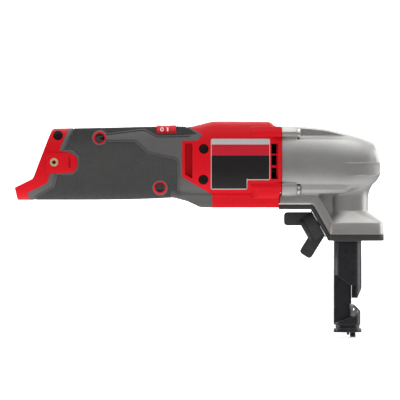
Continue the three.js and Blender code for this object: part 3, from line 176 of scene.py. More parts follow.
def settled(body):
    """The body with its modifiers worked into its mesh."""
    bpy.context.view_layer.update()
    seen = body.evaluated_get(bpy.context.evaluated_depsgraph_get())
    mesh = bpy.data.meshes.new_from_object(seen)
    body.modifiers.clear()
    body.data = mesh
    return body


def worked(body, operation, tools):
    for tool in tools:
        step = body.modifiers.new("step", "BOOLEAN")
        step.operation = operation
        step.solver = "MANIFOLD"
        step.object = tool
    return settled(body)


def joined(body, *others):
    return worked(body, "UNION", others)


def less(body, *cuts):
    return worked(body, "DIFFERENCE", cuts)


def within(body, *limits):
    return worked(body, "INTERSECT", limits)


def softened(body, width, steps=3, angle=30):
    bevel = body.modifiers.new("soft", "BEVEL")
    bevel.width = width
    bevel.segments = steps
    bevel.limit_method = "ANGLE"
    bevel.angle_limit = math.radians(angle)
    bevel.use_clamp_overlap = True
    return settled(body)


def copy(body):
    twin = bpy.data.objects.new("form", body.data.copy())
    bpy.context.scene.collection.objects.link(twin)
    return twin


def mirrored(body):
    twin = copy(body)
    twin.data.transform(Matrix.Scale(-1, 4, (0, 1, 0)))
    twin.data.flip_normals()
    return twin


def heap(bodies):
    """Bodies laid into one mesh as they are, for rows of small raised details."""
    corners, faces = [], []
    for body in bodies:
        start = len(corners)
        corners += [tuple(v.co) for v in body.data.vertices]
        faces += [[start + i for i in polygon.vertices] for polygon in body.data.polygons]
    return form(corners, faces)


def smooth_rows(stations, step):
    """Rows through the stations a step apart along the first number, level where the stations are level."""
    xs = [row[0] for row in stations]
    count = len(xs)
    wide = len(stations[0])
    slopes = []
    for k in range(1, wide):
        rise = [(stations[i + 1][k] - stations[i][k]) / (xs[i + 1] - xs[i]) for i in range(count - 1)]
        inner = [0 if a * b <= 0 else 2 * a * b / (a + b) for a, b in zip(rise, rise[1:])]
        slopes.append([rise[0]] + inner + [rise[-1]])
    rows = []
    for i in range(count - 1):
        run = xs[i + 1] - xs[i]
        pieces = max(1, math.ceil(abs(run) / step))
        for j in range(pieces + (i == count - 2)):
            t = j / pieces
            row = [xs[i] + t * run]
            for k in range(1, wide):
                a, b = stations[i][k], stations[i + 1][k]
                m, n = slopes[k - 1][i] * run, slopes[k - 1][i + 1] * run
                row.append(a * (2 * t ** 3 - 3 * t ** 2 + 1) + m * (t ** 3 - 2 * t ** 2 + t)
                           + b * (3 * t ** 2 - 2 * t ** 3) + n * (t ** 3 - t ** 2))
            rows.append(row)
    return rows


def squarish(turn, squareness=SQUARENESS):
    across, up = math.cos(turn), math.sin(turn)
    return (math.copysign(abs(across) ** (2 / squareness), across),
            math.copysign(abs(up) ** (2 / squareness), up))


def section(x, top, bottom, half, points=112, squareness=SQUARENESS):
    ring = []
    for i in range(points):
        across, up = squarish((i + 0.5) * 2 * math.pi / points, squareness)
        ring.append((x, across * half, (top + bottom) / 2 + up * (top - bottom) / 2))
    return ring


def beside(line, distance):
    """A line of the side view moved sideways, with mitred corners."""
    out = []
    for i, here in enumerate(line):
        before = (Vector(line[max(i, 1)]) - Vector(line[max(i - 1, 0)])).normalized()
        after = (Vector(line[min(i + 1, len(line) - 1)]) - Vector(line[min(i, len(line) - 2)])).normalized()
        side = (before + after).normalized()
        reach = distance / side.dot(before)
        out.append((here[0] - side.y * reach, here[1] + side.x * reach))
    return out


def ribbon(line, width):
    return beside(line, width / 2) + beside(line, -width / 2)[::-1]


def area(outline):
    return sum(a[0] * b[1] - b[0] * a[1] for a, b in zip(outline, outline[1:] + outline[:1])) / 2


def grown(outline, distance):
    ring = outline if area(outline) > 0 else outline[::-1]
    return beside([ring[-1]] + ring + [ring[0]], -distance)[1:-1]


def arc(before, here, after, radius, steps=5):
    """Points that round a corner of the side view."""
    before, here, after = Vector(before), Vector(here), Vector(after)
    reach = min(radius, (before - here).length * 0.45, (after - here).length * 0.45)
    start, end = (here + (way - here).normalized() * reach for way in (before, after))
    return [tuple(start.lerp(here, j / steps).lerp(here.lerp(end, j / steps), j / steps))
            for j in range(steps + 1)]


def rounded_corners(outline, radius, steps=5):
    """An outline of the side view with an arc in place of each corner."""
    count = len(outline)
    return [point for i in range(count)
            for point in arc(outline[i - 1], outline[i], outline[(i + 1) % count], radius, steps)]


def held(point, outline):
    """Whether a point of the side view lies in an outline."""
    x, y = point
    inside = False
    for (ax, ay), (bx, by) in zip(outline, outline[1:] + outline[:1]):
        if (ay > y) != (by > y) and x < (bx - ax) * (y - ay) / (by - ay) + ax:
            inside = not inside
    return inside


# Finishes


class Shade:
    """A number or colour that changes over a surface."""

    def __init__(self, finish, socket):
        self.finish = finish
        self.socket = socket

    def maths(self, operation, *values, clamp=False):
        return self.finish.node("ShaderNodeMath", {"operation": operation, "use_clamp": clamp},
                                dict(enumerate(values)))

    def __add__(self, other):
        return self.maths("ADD", self, other)

    def __radd__(self, other):
        return self.maths("ADD", other, self)

    def __sub__(self, other):
        return self.maths("SUBTRACT", self, other)

    def __rsub__(self, other):
        return self.maths("SUBTRACT", other, self)

    def __mul__(self, other):
        return self.maths("MULTIPLY", self, other)

    def __rmul__(self, other):
        return self.maths("MULTIPLY", other, self)

    def __truediv__(self, other):
        return self.maths("DIVIDE", self, other)

    def __pow__(self, other):
        return self.maths("POWER", self, other)

    def above(self, edge, blur=0.0):
        """1 where the value is over an edge, 0 under it, with a blur between."""
        if blur == 0:
            return self.maths("GREATER_THAN", self, edge)
        return ((self - edge) / blur + 0.5).maths("MULTIPLY", (self - edge) / blur + 0.5, 1.0, clamp=True)

    def between(self, low, high, blur=0.0):
        return self.above(low, blur) * (1 - self.above(high, blur))


class Finish:
    """A material under construction, with its places measured in millimetres."""

    def __init__(self, name):
        self.material = bpy.data.materials.new(name)
        self.material.use_nodes = True
        self.tree = self.material.node_tree
        self.shader = self.tree.nodes["Principled BSDF"]
        self.place = self.node("ShaderNodeVectorMath", {"operation": "SCALE"},
                               {"Vector": self.node("ShaderNodeTexCoord", output="Object"), "Scale": 1 / MM})
        self.x, self.y, self.z = (self.node("ShaderNodeSeparateXYZ", inputs={0: self.place}, output=k)
                                  for k in range(3))

    def node(self, kind, settings=None, inputs=None, output=0):
        made = self.tree.nodes.new(kind)
        for name, value in (settings or {}).items():
            if name == "stops":
                ramp = made.color_ramp.elements
                while len(ramp) < len(value):
                    ramp.new(0.5)
                for stop, (spot, colour) in zip(ramp, value):
                    stop.position = spot
                    stop.color = (*colour, 1)
            else:
                setattr(made, name, value)
        for name, value in (inputs or {}).items():
            self.feed(made.inputs[name], value)
        return Shade(self, made.outputs[output])

    def feed(self, socket, value):
        if isinstance(value, Shade):
            self.tree.links.new(value.socket, socket)
        else:
            socket.default_value = value

    def mix(self, mask, first, second):
        first, second = ((*c, 1) if isinstance(c, tuple) and len(c) == 3 else c for c in (first, second))
        return self.node("ShaderNodeMix", {"data_type": "RGBA"}, {0: mask, 6: first, 7: second}, output=2)

    def noise(self, size, detail=2.0, roughness=0.5, place=None):
        return self.node("ShaderNodeTexNoise", {}, {"Vector": place or self.place, "Scale": 1 / size,
                                                   "Detail": detail, "Roughness": roughness})

    def stretched(self, x, y, z):
        return self.node("ShaderNodeVectorMath", {"operation": "MULTIPLY"}, {0: self.place, 1: (x, y, z)})

    def rim(self, reach):
        """Where the surface turns over an edge, from 0 to 1, and the rounded normal."""
        round_normal = self.node("ShaderNodeBevel", {"samples": 4}, {"Radius": reach * MM})
        flat = self.node("ShaderNodeNewGeometry", output="Normal")
        turn = self.node("ShaderNodeVectorMath", {"operation": "DOT_PRODUCT"},
                         {0: round_normal, 1: flat}, output=1)
        edge = ((1 - turn) * 9.0).maths("MULTIPLY", (1 - turn) * 9.0, 1.0, clamp=True)
        return edge, round_normal

    def finished(self, colour, roughness, metallic=0.0, height=None, depth=0.1, normal=None, **constants):
        self.feed(self.shader.inputs["Base Color"], colour if isinstance(colour, Shade) else (*colour, 1))
        self.feed(self.shader.inputs["Roughness"], roughness)
        self.feed(self.shader.inputs["Metallic"], metallic)
        if height is not None:
            bump = {"Height": height, "Distance": depth * MM, "Strength": 1.0}
            if normal is not None:
                bump["Normal"] = normal
            normal = self.node("ShaderNodeBump", {}, bump)
        if normal is not None:
            self.feed(self.shader.inputs["Normal"], normal)
        for name, value in constants.items():
            self.shader.inputs[name.replace("_", " ").title().replace("Ior", "IOR")].default_value = value
        return self.material


def moulded_plastic(name, dark, light, rough, grain, depth, reach=0.5, wear_and_highlight=0.35, shine=0.2,
                    marks=None):
    """Injection-moulded skin: spark texture, slow shifts of tone, edges painted lighter (partly rubbed,
    partly painted highlight), and printed marks.
    """
    skin = Finish(name)
    edge, soft = skin.rim(reach)
    tone = skin.noise(26, 3) * 0.5 + skin.noise(4, 2) * 0.2 + skin.noise(0.8, 2) * 0.3
    lit = tuple(min(1.0, c * 1.15 + 0.03) for c in light)
    # Edges blend toward a lighter colour: partly rubbed, partly painted highlight.
    colour = skin.mix(edge * wear_and_highlight, skin.mix(tone.between(0.3, 2.0, 0.5), dark, light), lit)
    if marks:
        colour = skin.mix(marks(skin), colour, (0.86, 0.84, 0.83))
    pits = skin.noise(grain, 3, 0.6)
    rub = skin.noise(9, 4).above(0.58, 0.2)
    return skin.finished(colour, rough + 0.1 * pits - 0.06 * rub - 0.08 * edge, 0.0, pits, depth, soft,
                         specular_ior_level=shine)


def red_plastic(name="red_moulding", marks=None):
    return moulded_plastic(name, (0.56, 0.003, 0.009), (0.70, 0.005, 0.014), 0.44, 0.42, 0.025,
                           shine=0.1, marks=marks)


def off_and_on(skin):
    """A plain 0 and a plain 1, printed on both sides of the slide."""
    ring = ((skin.x + 133.5) / 1.25) ** 2 + ((skin.z - 145.9) / 1.5) ** 2
    one = skin.x.between(-129.9, -128.9, 0.1) * skin.z.between(144.5, 147.4, 0.1)
    return one.maths("MAXIMUM", one, ring.between(0.3, 1.0, 0.1))


def grey_rubber():
    return moulded_plastic("grey_overmould", (0.086, 0.084, 0.083), (0.120, 0.117, 0.116), 0.6, 0.3, 0.04,
                           0.15, shine=0.3)


def black_plastic():
    return moulded_plastic("black_moulding", (0.026, 0.025, 0.025), (0.044, 0.042, 0.042), 0.4, 0.38, 0.03,
                           shine=0.4)


def cast_metal():
    """Satin cast light metal: fine blasted grain, cloudy tone, and dust in the pores."""
    skin = Finish("cast_case")
    edge, soft = skin.rim(0.8)
    grain = skin.noise(0.5, 3, 0.65)
    cloud = skin.noise(14, 4, 0.6)
    pore = (1 - skin.noise(1.1, 3, 0.6).above(0.36, 0.08)) * 0.4
    tone = skin.mix((cloud * 0.6 + grain * 0.4).between(0.3, 2.0, 0.4), (0.50, 0.495, 0.48),
                    (0.60, 0.595, 0.58))
    # Edges blend toward a lighter tone: partly rubbed, partly painted highlight.
    colour = skin.mix(edge * 0.5, skin.mix(pore, tone, (0.40, 0.39, 0.37)), (0.80, 0.795, 0.77))
    return skin.finished(colour, 0.36 + 0.12 * grain - 0.06 * edge, 0.9, grain, 0.05, soft)


def turned_steel(name, dark, light, rough, metal=0.9, pitch=0.5, depth=0.006):
    """Steel off the lathe: rings along Z under a thin film, with edges painted lighter, partly rubbed and
    partly as painted highlight.
    """
    skin = Finish(name)
    edge, soft = skin.rim(0.35)
    rings = skin.noise(1, 2, 0.5, skin.stretched(0.02, 0.02, 1 / pitch))
    film = skin.noise(7, 4, 0.6)
    # Edges blend toward a much lighter steel: partly rubbed, partly painted highlight.
    colour = skin.mix(edge * 0.6, skin.mix(film.between(0.35, 2, 0.3), dark, light),
                      tuple(min(1.0, c * 1.9 + 0.06) for c in light))
    return skin.finished(colour, rough + 0.12 * film + 0.08 * rings - 0.05 * edge, metal, rings, depth, soft)


def ground_steel(name, dark, light, rough, metal=0.95):
    """Ground or pressed steel with fine scratches one way and faint stains."""
    skin = Finish(name)
    edge, soft = skin.rim(0.25)
    marks = skin.noise(1, 3, 0.6, skin.stretched(5.0, 5.0, 0.4))
    stain = skin.noise(5, 4, 0.6)
    # Edges blend toward a lighter tone: partly rubbed, partly painted highlight.
    colour = skin.mix(edge * 0.5, skin.mix(stain.between(0.4, 2, 0.3), dark, light),
                      tuple(min(1.0, c * 1.3 + 0.05) for c in light))
    return skin.finished(colour, rough + 0.15 * marks, metal, marks, 0.01, soft)


def copper_winding():
    skin = Finish("copper_winding")
    strands = skin.noise(1, 2, 0.5, skin.stretched(0.2, 2.2, 2.2))
    colour = skin.mix(strands, (0.45, 0.14, 0.05), (0.75, 0.30, 0.12))
    return skin.finished(colour, 0.3 + 0.2 * strands, 0.85, strands, 0.1)


def circuit_board():
    skin = Finish("circuit_board")
    tracks = skin.noise(2.2, 1).between(0.47, 0.53, 0.02)
    colour = skin.mix(tracks, (0.012, 0.09, 0.045), (0.04, 0.20, 0.09))
    return skin.finished(colour, 0.35 + 0.2 * skin.noise(3, 2), 0.0, tracks, 0.03)


def bare_plate():
    """Printed plate: silver border and strip, red band, black panel."""
    skin = Finish("bare_plate")
    soft = skin.rim(0.2)[1]
    right = skin.x.above(-72.5, 0.05)
    floor = 103.3 + right * 6.7
    border = (skin.x.between(-97.9, -56.6, 0.1) * skin.z.above(floor, 0.1)) * (1 - (
        skin.x.between(-72.8, -72.2, 0.1) * (1 - skin.z.above(110.4, 0.1))))
    strip = skin.z.above(134.9, 0.1)
    band = skin.z.between(127.0, 134.9, 0.1)
    fleck = skin.noise(0.4, 2)
    silver = skin.mix(fleck, (0.44, 0.45, 0.45), (0.54, 0.55, 0.55))
    red = skin.mix(fleck, (0.50, 0.01, 0.025), (0.60, 0.014, 0.03))
    black = skin.mix(fleck, (0.012, 0.010, 0.011), (0.020, 0.018, 0.019))
    face = skin.mix(band, skin.mix(strip, black, silver), red)
    colour = skin.mix(border, silver, face)
    scuff = skin.noise(6, 4, 0.6)
    return skin.finished(colour, 0.32 + 0.2 * scuff, 0.0, skin.noise(3, 2), 0.02, soft,
                         specular_ior_level=0.2)


FINISHES = {
    "red_plastic": red_plastic(),
    "marked_red": red_plastic("marked_red_moulding", off_and_on),
    "grey_overmould": grey_rubber(),
    "cast_metal": cast_metal(),
    "black_plastic": black_plastic(),
    "blackened_steel": turned_steel("blackened_steel", (0.045, 0.046, 0.050), (0.085, 0.086, 0.092), 0.24),
    "bright_steel": ground_steel("ground_steel", (0.36, 0.35, 0.34), (0.50, 0.49, 0.475), 0.28),
    "dark_steel": ground_steel("dark_steel", (0.050, 0.050, 0.052), (0.10, 0.10, 0.104), 0.34),
    "black_oxide": ground_steel("black_oxide", (0.008, 0.008, 0.009), (0.022, 0.021, 0.021), 0.5, 0.4),
    "zinc": ground_steel("zinc_plated", (0.62, 0.62, 0.61), (0.82, 0.82, 0.80), 0.2),
    "brass": ground_steel("brass", (0.70, 0.52, 0.27), (0.90, 0.74, 0.46), 0.3, 0.6),
    "copper": copper_winding(),
    "plate": bare_plate(),
    "board": circuit_board(),
}

# Pieces

BODY_OF = {node: body for body, nodes in frame["record"]["behaviour"]["bodies"].items() for node in nodes}


def shaded(mesh, angle=32):
    for polygon in mesh.polygons:
        polygon.use_smooth = True
    mesh.set_sharp_from_angle(angle=math.radians(angle))


def piece(name, body, finish, *nodes, slot=None, on=None, angle=32):
    """The body as a finished piece that stands for its nodes and rides where they ride."""
    made = bpy.data.objects.new(name, body.data.copy())
    bpy.context.scene.collection.objects.link(made)
    made.data.transform(Matrix.Scale(MM, 4))
    made.data.name = name
    made.data.materials.clear()
    made.data.materials.append(FINISHES[finish])
    shaded(made.data, angle)
    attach(made, on or BODY_OF[nodes[0]])
    if nodes:
        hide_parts(*nodes)
    return made


def kept_nodes():
    """The solids that stay as they are take their slot's finish, save the punch: its slot is bright steel,
    and its dark steel finish is painted shade for the slot it sits in.
    """
    for node, entry in frame["nodes"].items():
        slot = SLOT_OF[node]
        entry.data.materials.clear()
        # Dark steel on the punch is painted shade; its slot is bright steel.
        entry.data.materials.append(FINISHES["dark_steel" if node == "punch" else slot])
        shaded(entry.data, 30)


SLOT_OF = {part["node"]: part["material_slot"] for part in frame["record"]["subparts"]}
kept_nodes()


# Handle and motor housing


def on_handle(along, up):
    return HANDLE_REAR + along * HANDLE_LENGTH, AXIS + up * HANDLE_HALF


def on_motor(along, up):
    return HOUSING_REAR + along * MOTOR_LENGTH, AXIS + up * MOTOR_HALF


# Along, top, bottom and half width, each as a share of the handle's or the motor's own
HANDLE_ROWS = [(-0.1, 0.94, -1.03, 0.96), (0.3, 0.97, -1.03, 1), (0.62, 1, -1.022, 1),
               (0.85, 1.025, -0.993, 1), (0.983, 1.03, -0.96, 1.02)]
MOTOR_ROWS = [(0.065, 0.87, -0.82, 0.9), (0.17, 0.92, -0.82, 0.97), (0.34, 1, -0.82, 1),
              (0.878, 0.993, -0.82, 1), (0.954, 0.88, -0.82, 0.96), (1, 0.88, -0.82, 0.93)]
STATIONS = [(rear + a * length, AXIS + t * tall, AXIS + b * tall, w * wide)
            for rear, length, tall, wide, rows in (
                (HANDLE_REAR, HANDLE_LENGTH, HANDLE_HALF, HANDLE_WIDE, HANDLE_ROWS),
                (HOUSING_REAR, MOTOR_LENGTH, MOTOR_HALF, MOTOR_WIDE, MOTOR_ROWS))
            for a, t, b, w in rows]
HOUSING_ROWS = smooth_rows(STATIONS, 2.0)


def barrel(inset, past=0):
    rows = [list(row) for row in HOUSING_ROWS]
    rows[0][0] -= past
    rows[-1][0] += past
    return loft([section(x, top - inset, bottom + inset, half - inset) for x, top, bottom, half in rows])


def keel(inset):
    """The shallow foot under the motor: sloped sides, two creases, a flat bottom."""
    line = [on_motor(*p) for p in [(-0.12, -0.83), (-0.024, -0.872), (0.049, -0.917), (0.12, -0.992),
                                   (0.191, -1.06), (0.299, -1.07), (0.999, -1.07)]]
    rings = []
    for x, z in smooth_rows(line, 1.5):
        steps = [(17.0, AXIS), (17.0, max(98.4, z + 1)), (15.8, max(96.6, z + 0.8)),
                 (15.0, max(92.3, z + 0.6)), (14.0, max(91.1, z + 0.3)), (12.6, z)]
        half = [(y - inset, up + (inset if up == z else 0)) for y, up in steps]
        rings.append([(x, y, up) for y, up in half] + [(x, -y, up) for y, up in reversed(half)])
    return loft(rings)


def body_form(inset, past=0):
    return joined(barrel(inset, past), keel(inset))


OUTER = body_form(0)
GRIP_CORE = body_form(GRIP + SLIT, 12)
GRIP_BASE = body_form(GRIP, 12)
RIGHT_HALF = block((-300, -FAR, 0), (0, -0.06, 200))

REAR_END = [(0.233, 0.96), (0.219, 0.907), (0.115, -0.37), (0.105, -0.445), (0.003, -0.68), (0.001, -0.713),
            (0.013, -0.992), (0.02, -1.1)]
BEHIND = prism([*[on_handle(*p) for p in REAR_END], (on_handle(0.02, 0)[0], 60), (-280, 60), (-280, 190),
                (on_handle(0.233, 0)[0], 190)], -FAR, FAR)
TAB = [on_handle(*p) for p in [(0.19, 0.26), (0.336, 0.26), (0.372, 0.14), (0.372, -0.13), (0.3475, -0.26),
                               (0.19, -0.26)]]
GRIP_REAR = [on_handle(0.322, 0.953), on_handle(0.267, 0.353)]
GRIP_LOW_REAR = [on_handle(*p) for p in [(0.213, -0.302), (0.194, -0.558), (0.077, -0.833), (0.086, -1.019)]]
GRIP_FRONT = [on_handle(*p) for p in [(1.18, -1.5), (1.18, -0.884), (1, -0.395), (1, 0.612), (1.093, 0.62),
                                      (1.121, 0.787), (1.038, 1.012), (1.03, 1.3)]]
GRIP_OUTLINE = ([(GRIP_REAR[0][0], 190)] + GRIP_REAR
                + [p for p in grown(TAB, 0.3)[::-1] if p[0] > GRIP_REAR[1][0]]
                + GRIP_LOW_REAR + [(GRIP_LOW_REAR[-1][0], 60)] + GRIP_FRONT + [(GRIP_FRONT[-1][0], 190)])
SCREWS = [on_handle(0.258, 0.767), on_handle(0.508, 0.698), on_handle(0.868, -0.69),
          on_motor(0.218, 0.333), on_motor(0.214, -0.4)]
RINGED = [SCREWS[1], SCREWS[2]]
RING = 4.7
PLATE = [on_motor(*p) for p in [(0.29, 0.573), (0.885, 0.573), (0.885, -0.413), (0.656, -0.413),
                                (0.656, -0.637), (0.29, -0.637)]]
UPPER_GROOVE = [on_handle(*p) for p in [(0.547, 0.779), (0.773, 0.907), (0.852, 0.713), (1.047, 0.733)]]
LOWER_GROOVE = [on_handle(*p) for p in [(0.542, 0.624), (0.722, 0.628), (0.802, 0.298), (0.966, 0.136),
                                        (0.982, 0.027), (0.983, -1.2)]]
LIP_UPPER = [on_handle(0.362, 1.1), on_handle(0.292, 0.337)]
LIP_LOWER = [on_handle(*p) for p in [(0.247, -0.291), (0.227, -0.659), (0.112, -0.946), (0.115, -1.2)]]
CASE_SCREWS = [(SCREW_ACROSS, UPPER_SCREW), (SCREW_ACROSS, LOWER_SCREW)]
# Across the screw bosses from the screws outward and up, and how far the rear end of each corner lies back
UPPER_BOSS = [(-4.2, -2.2, 0), (8.7, -2.2, 0.7), (9.0, 1.2, 2.3), (5.4, 4.9, 3.7), (-4.2, 4.9, 0)]
LOWER_BOSS = [(-4.2, -6.3, 0), (1.5, -6.3, 2.3), (4.0, -5.2, 6.7), (6.6, -2.6, 6.2), (8.2, 1.5, 2.3),
              (7.6, 4.7, 0), (-4.2, 4.7, 0)]
UPPER_CASE_BOSS = [(-4.2, -2.0, 0), (7.4, -2.0, 0), (7.8, 1.2, 0), (4.8, 4.9, 0), (-4.2, 4.9, 0)]
LOWER_CASE_BOSS = [(-4.2, -4.2, 0), (2.7, -4.2, 0), (5.1, -2.2, 0), (6.7, 1.8, 0), (6.9, 4.2, 0),
                   (-4.2, 4.2, 0)]


def bed(outline, floor):
    return less(prism(outline, -FAR, FAR), floor)


def at_case_screws(make):
    return [make((0, side, AXIS + up)) for across, up in CASE_SCREWS for side in (-across, across)]


def boss(shares, side, rise, rear, front, point=1.0):
    """A bulge round a case screw, with a slanted facet at its rear."""
    rings = [[(reach + back * point * (reach < front), side * (SCREW_ACROSS + out), AXIS + rise + up)
              for out, up, back in shares] for reach in (rear, front)]
    return softened(loft(rings), 0.35, 2, 25)


def screw_bosses(upper, lower, rear, front, point=1.0):
    return [boss(shares, side, rise, rear, front, point)
            for side in (-1, 1) for shares, rise in ((upper, UPPER_SCREW), (lower, LOWER_SCREW))]


def at_rings(radius):
    """Rods from the right-hand side at the two screws that a red ring frames."""
    return [rod(radius, -FAR, 0, "y", (x, 0, z)) for x, z in RINGED]


def skin_at(x, z):
    """How far the right-hand skin lies from the middle plane at a place of the side view."""
    row = min(HOUSING_ROWS, key=lambda r: abs(r[0] - x))
    up = (z - (row[1] + row[2]) / 2) / ((row[1] - row[2]) / 2)
    return -row[3] * max(0.0, 1 - abs(up) ** SQUARENESS) ** (1 / SQUARENESS)


def housing_shell(heads):
    """One red half, drawn on the right-hand side."""
    bosses = screw_bosses(UPPER_BOSS, LOWER_BOSS, -71.2, -48.0)
    tab_room = less(block((-250, -40, 60), (-150, 0, 180)), BEHIND)
    tab_pad = within(softened(prism(TAB, -24.9, -10), 0.7), tab_room)
    grip_bed = less(bed(grown(GRIP_OUTLINE, SLIT), GRIP_CORE), *at_rings(RING))
    plate_bed = bed(grown(PLATE, SLIT), body_form(0.55, 12))
    rear_slot = [(0.03, 0.463), (0.103, 0.463), (0.103, -0.38), (0.03, -0.277)]
    vents = [prism([on_motor(*p) for p in rear_slot], -FAR, -19)]
    for a, b in ((-0.38, -0.117), (-0.06, 0.18), (0.22, 0.453)):
        cell = [on_motor(0.899, a), on_motor(0.952, a), on_motor(0.952, b), on_motor(0.899, b)]
        vents.append(prism(rounded_corners(cell, 0.5), -FAR, -19))
    vents.append(bed(rounded_corners([(-55.2, 110.2), (-50.4, 110.2), (-50.4, 135.5), (-55.2, 135.5)], 0.6),
                     body_form(3.0, 12)))
    flange = prism([(-49.6, 60), (-49.6, 97.3), (-48.4, 100.8), (-30, 100.8), (-30, 60)], -FAR, FAR)
    shell = joined(copy(OUTER), tab_pad, *bosses)
    room = less(barrel(WALL, 14), *[rod(4.3, -FAR, FAR, "y", (x, 0, z)) for x, z in SCREWS],
                block((-120.5, -FAR, 106), (-116.9, -17.2, 139)),
                block((-120.5, -19, 106), (-108.7, -17.2, 139)),
                less(block((-182.2, -FAR, 80), (-179.2, FAR, 170)), barrel(WALL + 2.4, 14)))
    x, z = on_handle(0.236, 0.016)
    cuts = [room, BEHIND, flange, grip_bed, plate_bed, *vents, rod(3.15, -40, -20.7, "y", (x, 0, z)),
            prism([on_handle(*p) for p in [(0.322, -0.12), (0.335, -0.12), (0.335, 0.167), (0.322, 0.167)]],
                  -40, -23.6),
            *at_case_screws(lambda at: rod(1.9, -60, -40, "x", at))]
    if heads:
        for x, z in SCREWS:
            face = skin_at(x, z)
            cuts.append(turned([(0, -FAR), (3.8, -FAR), (3.8, face + 0.05), (3.42, face + 0.4),
                                (3.42, face + 5.8), (0, face + 5.8)], "y", 48, (x, 0, z)))
    return within(less(shell, *cuts), RIGHT_HALF)


piece("right_housing_shell", housing_shell(True), "red_plastic", "right_housing")
piece("left_housing_shell", mirrored(housing_shell(False)), "red_plastic", "left_housing")


def knurl(outline, length=2.4, height=1.15, rise=0.7):
    """Rows of small lozenges on the skin, standing inside an outline of the side view."""
    corners, faces = [], []
    lows, highs = min(p[0] for p in outline), max(p[0] for p in outline)
    count = int((highs - lows) / (length / 2)) + 1
    for i in range(count):
        x = lows + i * length / 2
        row = min(HOUSING_ROWS, key=lambda r: abs(r[0] - x))
        middle, tall, wide = (row[1] + row[2]) / 2, (row[1] - row[2]) / 2, row[3]
        ring = [(-wide * abs(a), middle + tall * b) for a, b in
                (squarish(-math.pi / 2 + k * math.pi / 240) for k in range(241))]
        run = 0.0
        steps = [0.0]
        for (ay, az), (by, bz) in zip(ring, ring[1:]):
            run += math.hypot(by - ay, bz - az)
            steps.append(run)
        k = 0
        for j in range(int(run / height) - 1):
            want = (j + 1 + (i % 2) / 2) * height
            while k < len(steps) - 2 and steps[k + 1] < want:
                k += 1
            share = (want - steps[k]) / (steps[k + 1] - steps[k])
            y = ring[k][0] + (ring[k + 1][0] - ring[k][0]) * share
            z = ring[k][1] + (ring[k + 1][1] - ring[k][1]) * share
            if not held((x, z), outline) or y > -0.9:
                continue
            along = Vector((0, ring[k + 1][0] - ring[k][0], ring[k + 1][1] - ring[k][1])).normalized()
            out = Vector((1, 0, 0)).cross(along)
            if out.y * y < 0:
                out = -out
            here = Vector((x, y, z)) - out * rise
            start = len(corners)
            deep = here - out * 0.25
            base = [deep + Vector((length * 0.48, 0, 0)), deep + along * height * 0.48,
                    deep - Vector((length * 0.48, 0, 0)), deep - along * height * 0.48]
            top = [here + out * rise + Vector((length * 0.1, 0, 0)) * s for s in (1, -1)]
            corners += [tuple(p) for p in base + top]
            faces += [[start + n for n in f] for f in
                      ([0, 1, 5, 4], [1, 2, 5], [2, 3, 4, 5], [3, 0, 4], [0, 3, 2, 1])]
    return corners, faces


KNURL = [(-195.0, 165), (-195.1, 150), (-202.9, 131.1), (-197.4, 131.1), (-193.1, 127.0), (-193.1, 117.5),
         (-197.0, 113.2), (-208.2, 113.2), (-210.7, 104.2), (-224.4, 96.9), (-224.2, 60), (-122.3, 60),
         (-122.3, 122.2), (-123.9, 124.4), (-143.5, 128.5), (-153.0, 136.9), (-173.4, 136.9),
         (-178.1, 139.8), (-173.0, 143.0), (-146.0, 146.4), (-136.5, 141.3), (-113.6, 141.8),
         (-108.4, 142.6), (-115.2, 147.4), (-115.2, 165)]
SLIDE_REAR, SLIDE_FRONT, SLIDE_TRAVEL = -137.4, -123.4, 4.0
SLIDE_FOOT = 142.4
SLIDE_GAP = 0.35


def grip_skin():
    """One grey half of the overmould with its lips, grooves and knurled zones."""
    skin = less(within(prism(GRIP_OUTLINE, -FAR, 0), OUTER), GRIP_BASE)
    grooves = [bed(ribbon(line, 0.8), body_form(0.5, 12))
               for line in (LIP_UPPER, LIP_LOWER, UPPER_GROOVE, LOWER_GROOVE)]
    zone = less(bed(KNURL, body_form(0.7, 12)), *at_rings(5.6))
    rear, front = SLIDE_REAR - SLIDE_GAP, SLIDE_FRONT + SLIDE_TRAVEL + SLIDE_GAP
    slide = bed([(rear, SLIDE_FOOT - 0.3), (front, SLIDE_FOOT - 0.3), (front, 190), (rear, 190)],
                body_form(0.7, 12))
    skin = within(less(skin, *grooves, zone, *at_rings(RING + SLIT), BEHIND, slide), RIGHT_HALF)
    corners, faces = knurl(KNURL)
    return heap([skin, form(corners, faces)])


right_grip = grip_skin()
piece("right_grip_skin", right_grip, "grey_overmould", "right_grip")
piece("left_grip_skin", mirrored(right_grip), "grey_overmould", "left_grip")

side_plate = within(less(prism(rounded_corners(PLATE, 1.2), -FAR, 0), body_form(0.5, 12)), OUTER, RIGHT_HALF)
piece("right_plate_face", side_plate, "plate", "right_side_plate")
piece("left_plate_face", mirrored(side_plate), "plate", "left_side_plate")


def slide_cap():
    outline = rounded_corners([(SLIDE_REAR, SLIDE_FOOT), (SLIDE_FRONT, SLIDE_FOOT), (SLIDE_FRONT, 160),
                               (SLIDE_REAR, 160)], 1.5)
    cap = within(less(prism(outline, -17, 17), body_form(0.65, 12)), body_form(-0.7, 12))
    cap = softened(cap, 0.45, 3, 40)
    ridges = [prism([(x - 0.45, 147.2), (x + 0.45, 147.2), (x + 0.3, 200), (x - 0.3, 200)], -9, 9)
              for x in (-133.6, -131.6, -129.6, -127.6)]
    ridges = [within(less(ridge, body_form(0, 12)), body_form(-0.68, 12)) for ridge in ridges]
    stem = block((-133.4, -3, 141.8), (-127.4, 3, 147.6))
    thumb = bed([(-134.4, 147.4), (-126.8, 147.4), (-126.8, 200), (-134.4, 200)], body_form(-0.25, 12))
    return joined(less(cap, thumb), *ridges, stem)


piece("power_slide_cap", slide_cap(), "marked_red", "power_slide", slot="red_plastic")

# Screws and the clip inserts


def star(radius, lobes=6, steps=48):
    return [((radius + 0.16 * radius * math.cos(lobes * t)) * math.cos(t),
             (radius + 0.16 * radius * math.cos(lobes * t)) * math.sin(t))
            for t in (2 * math.pi * i / steps for i in range(steps))]


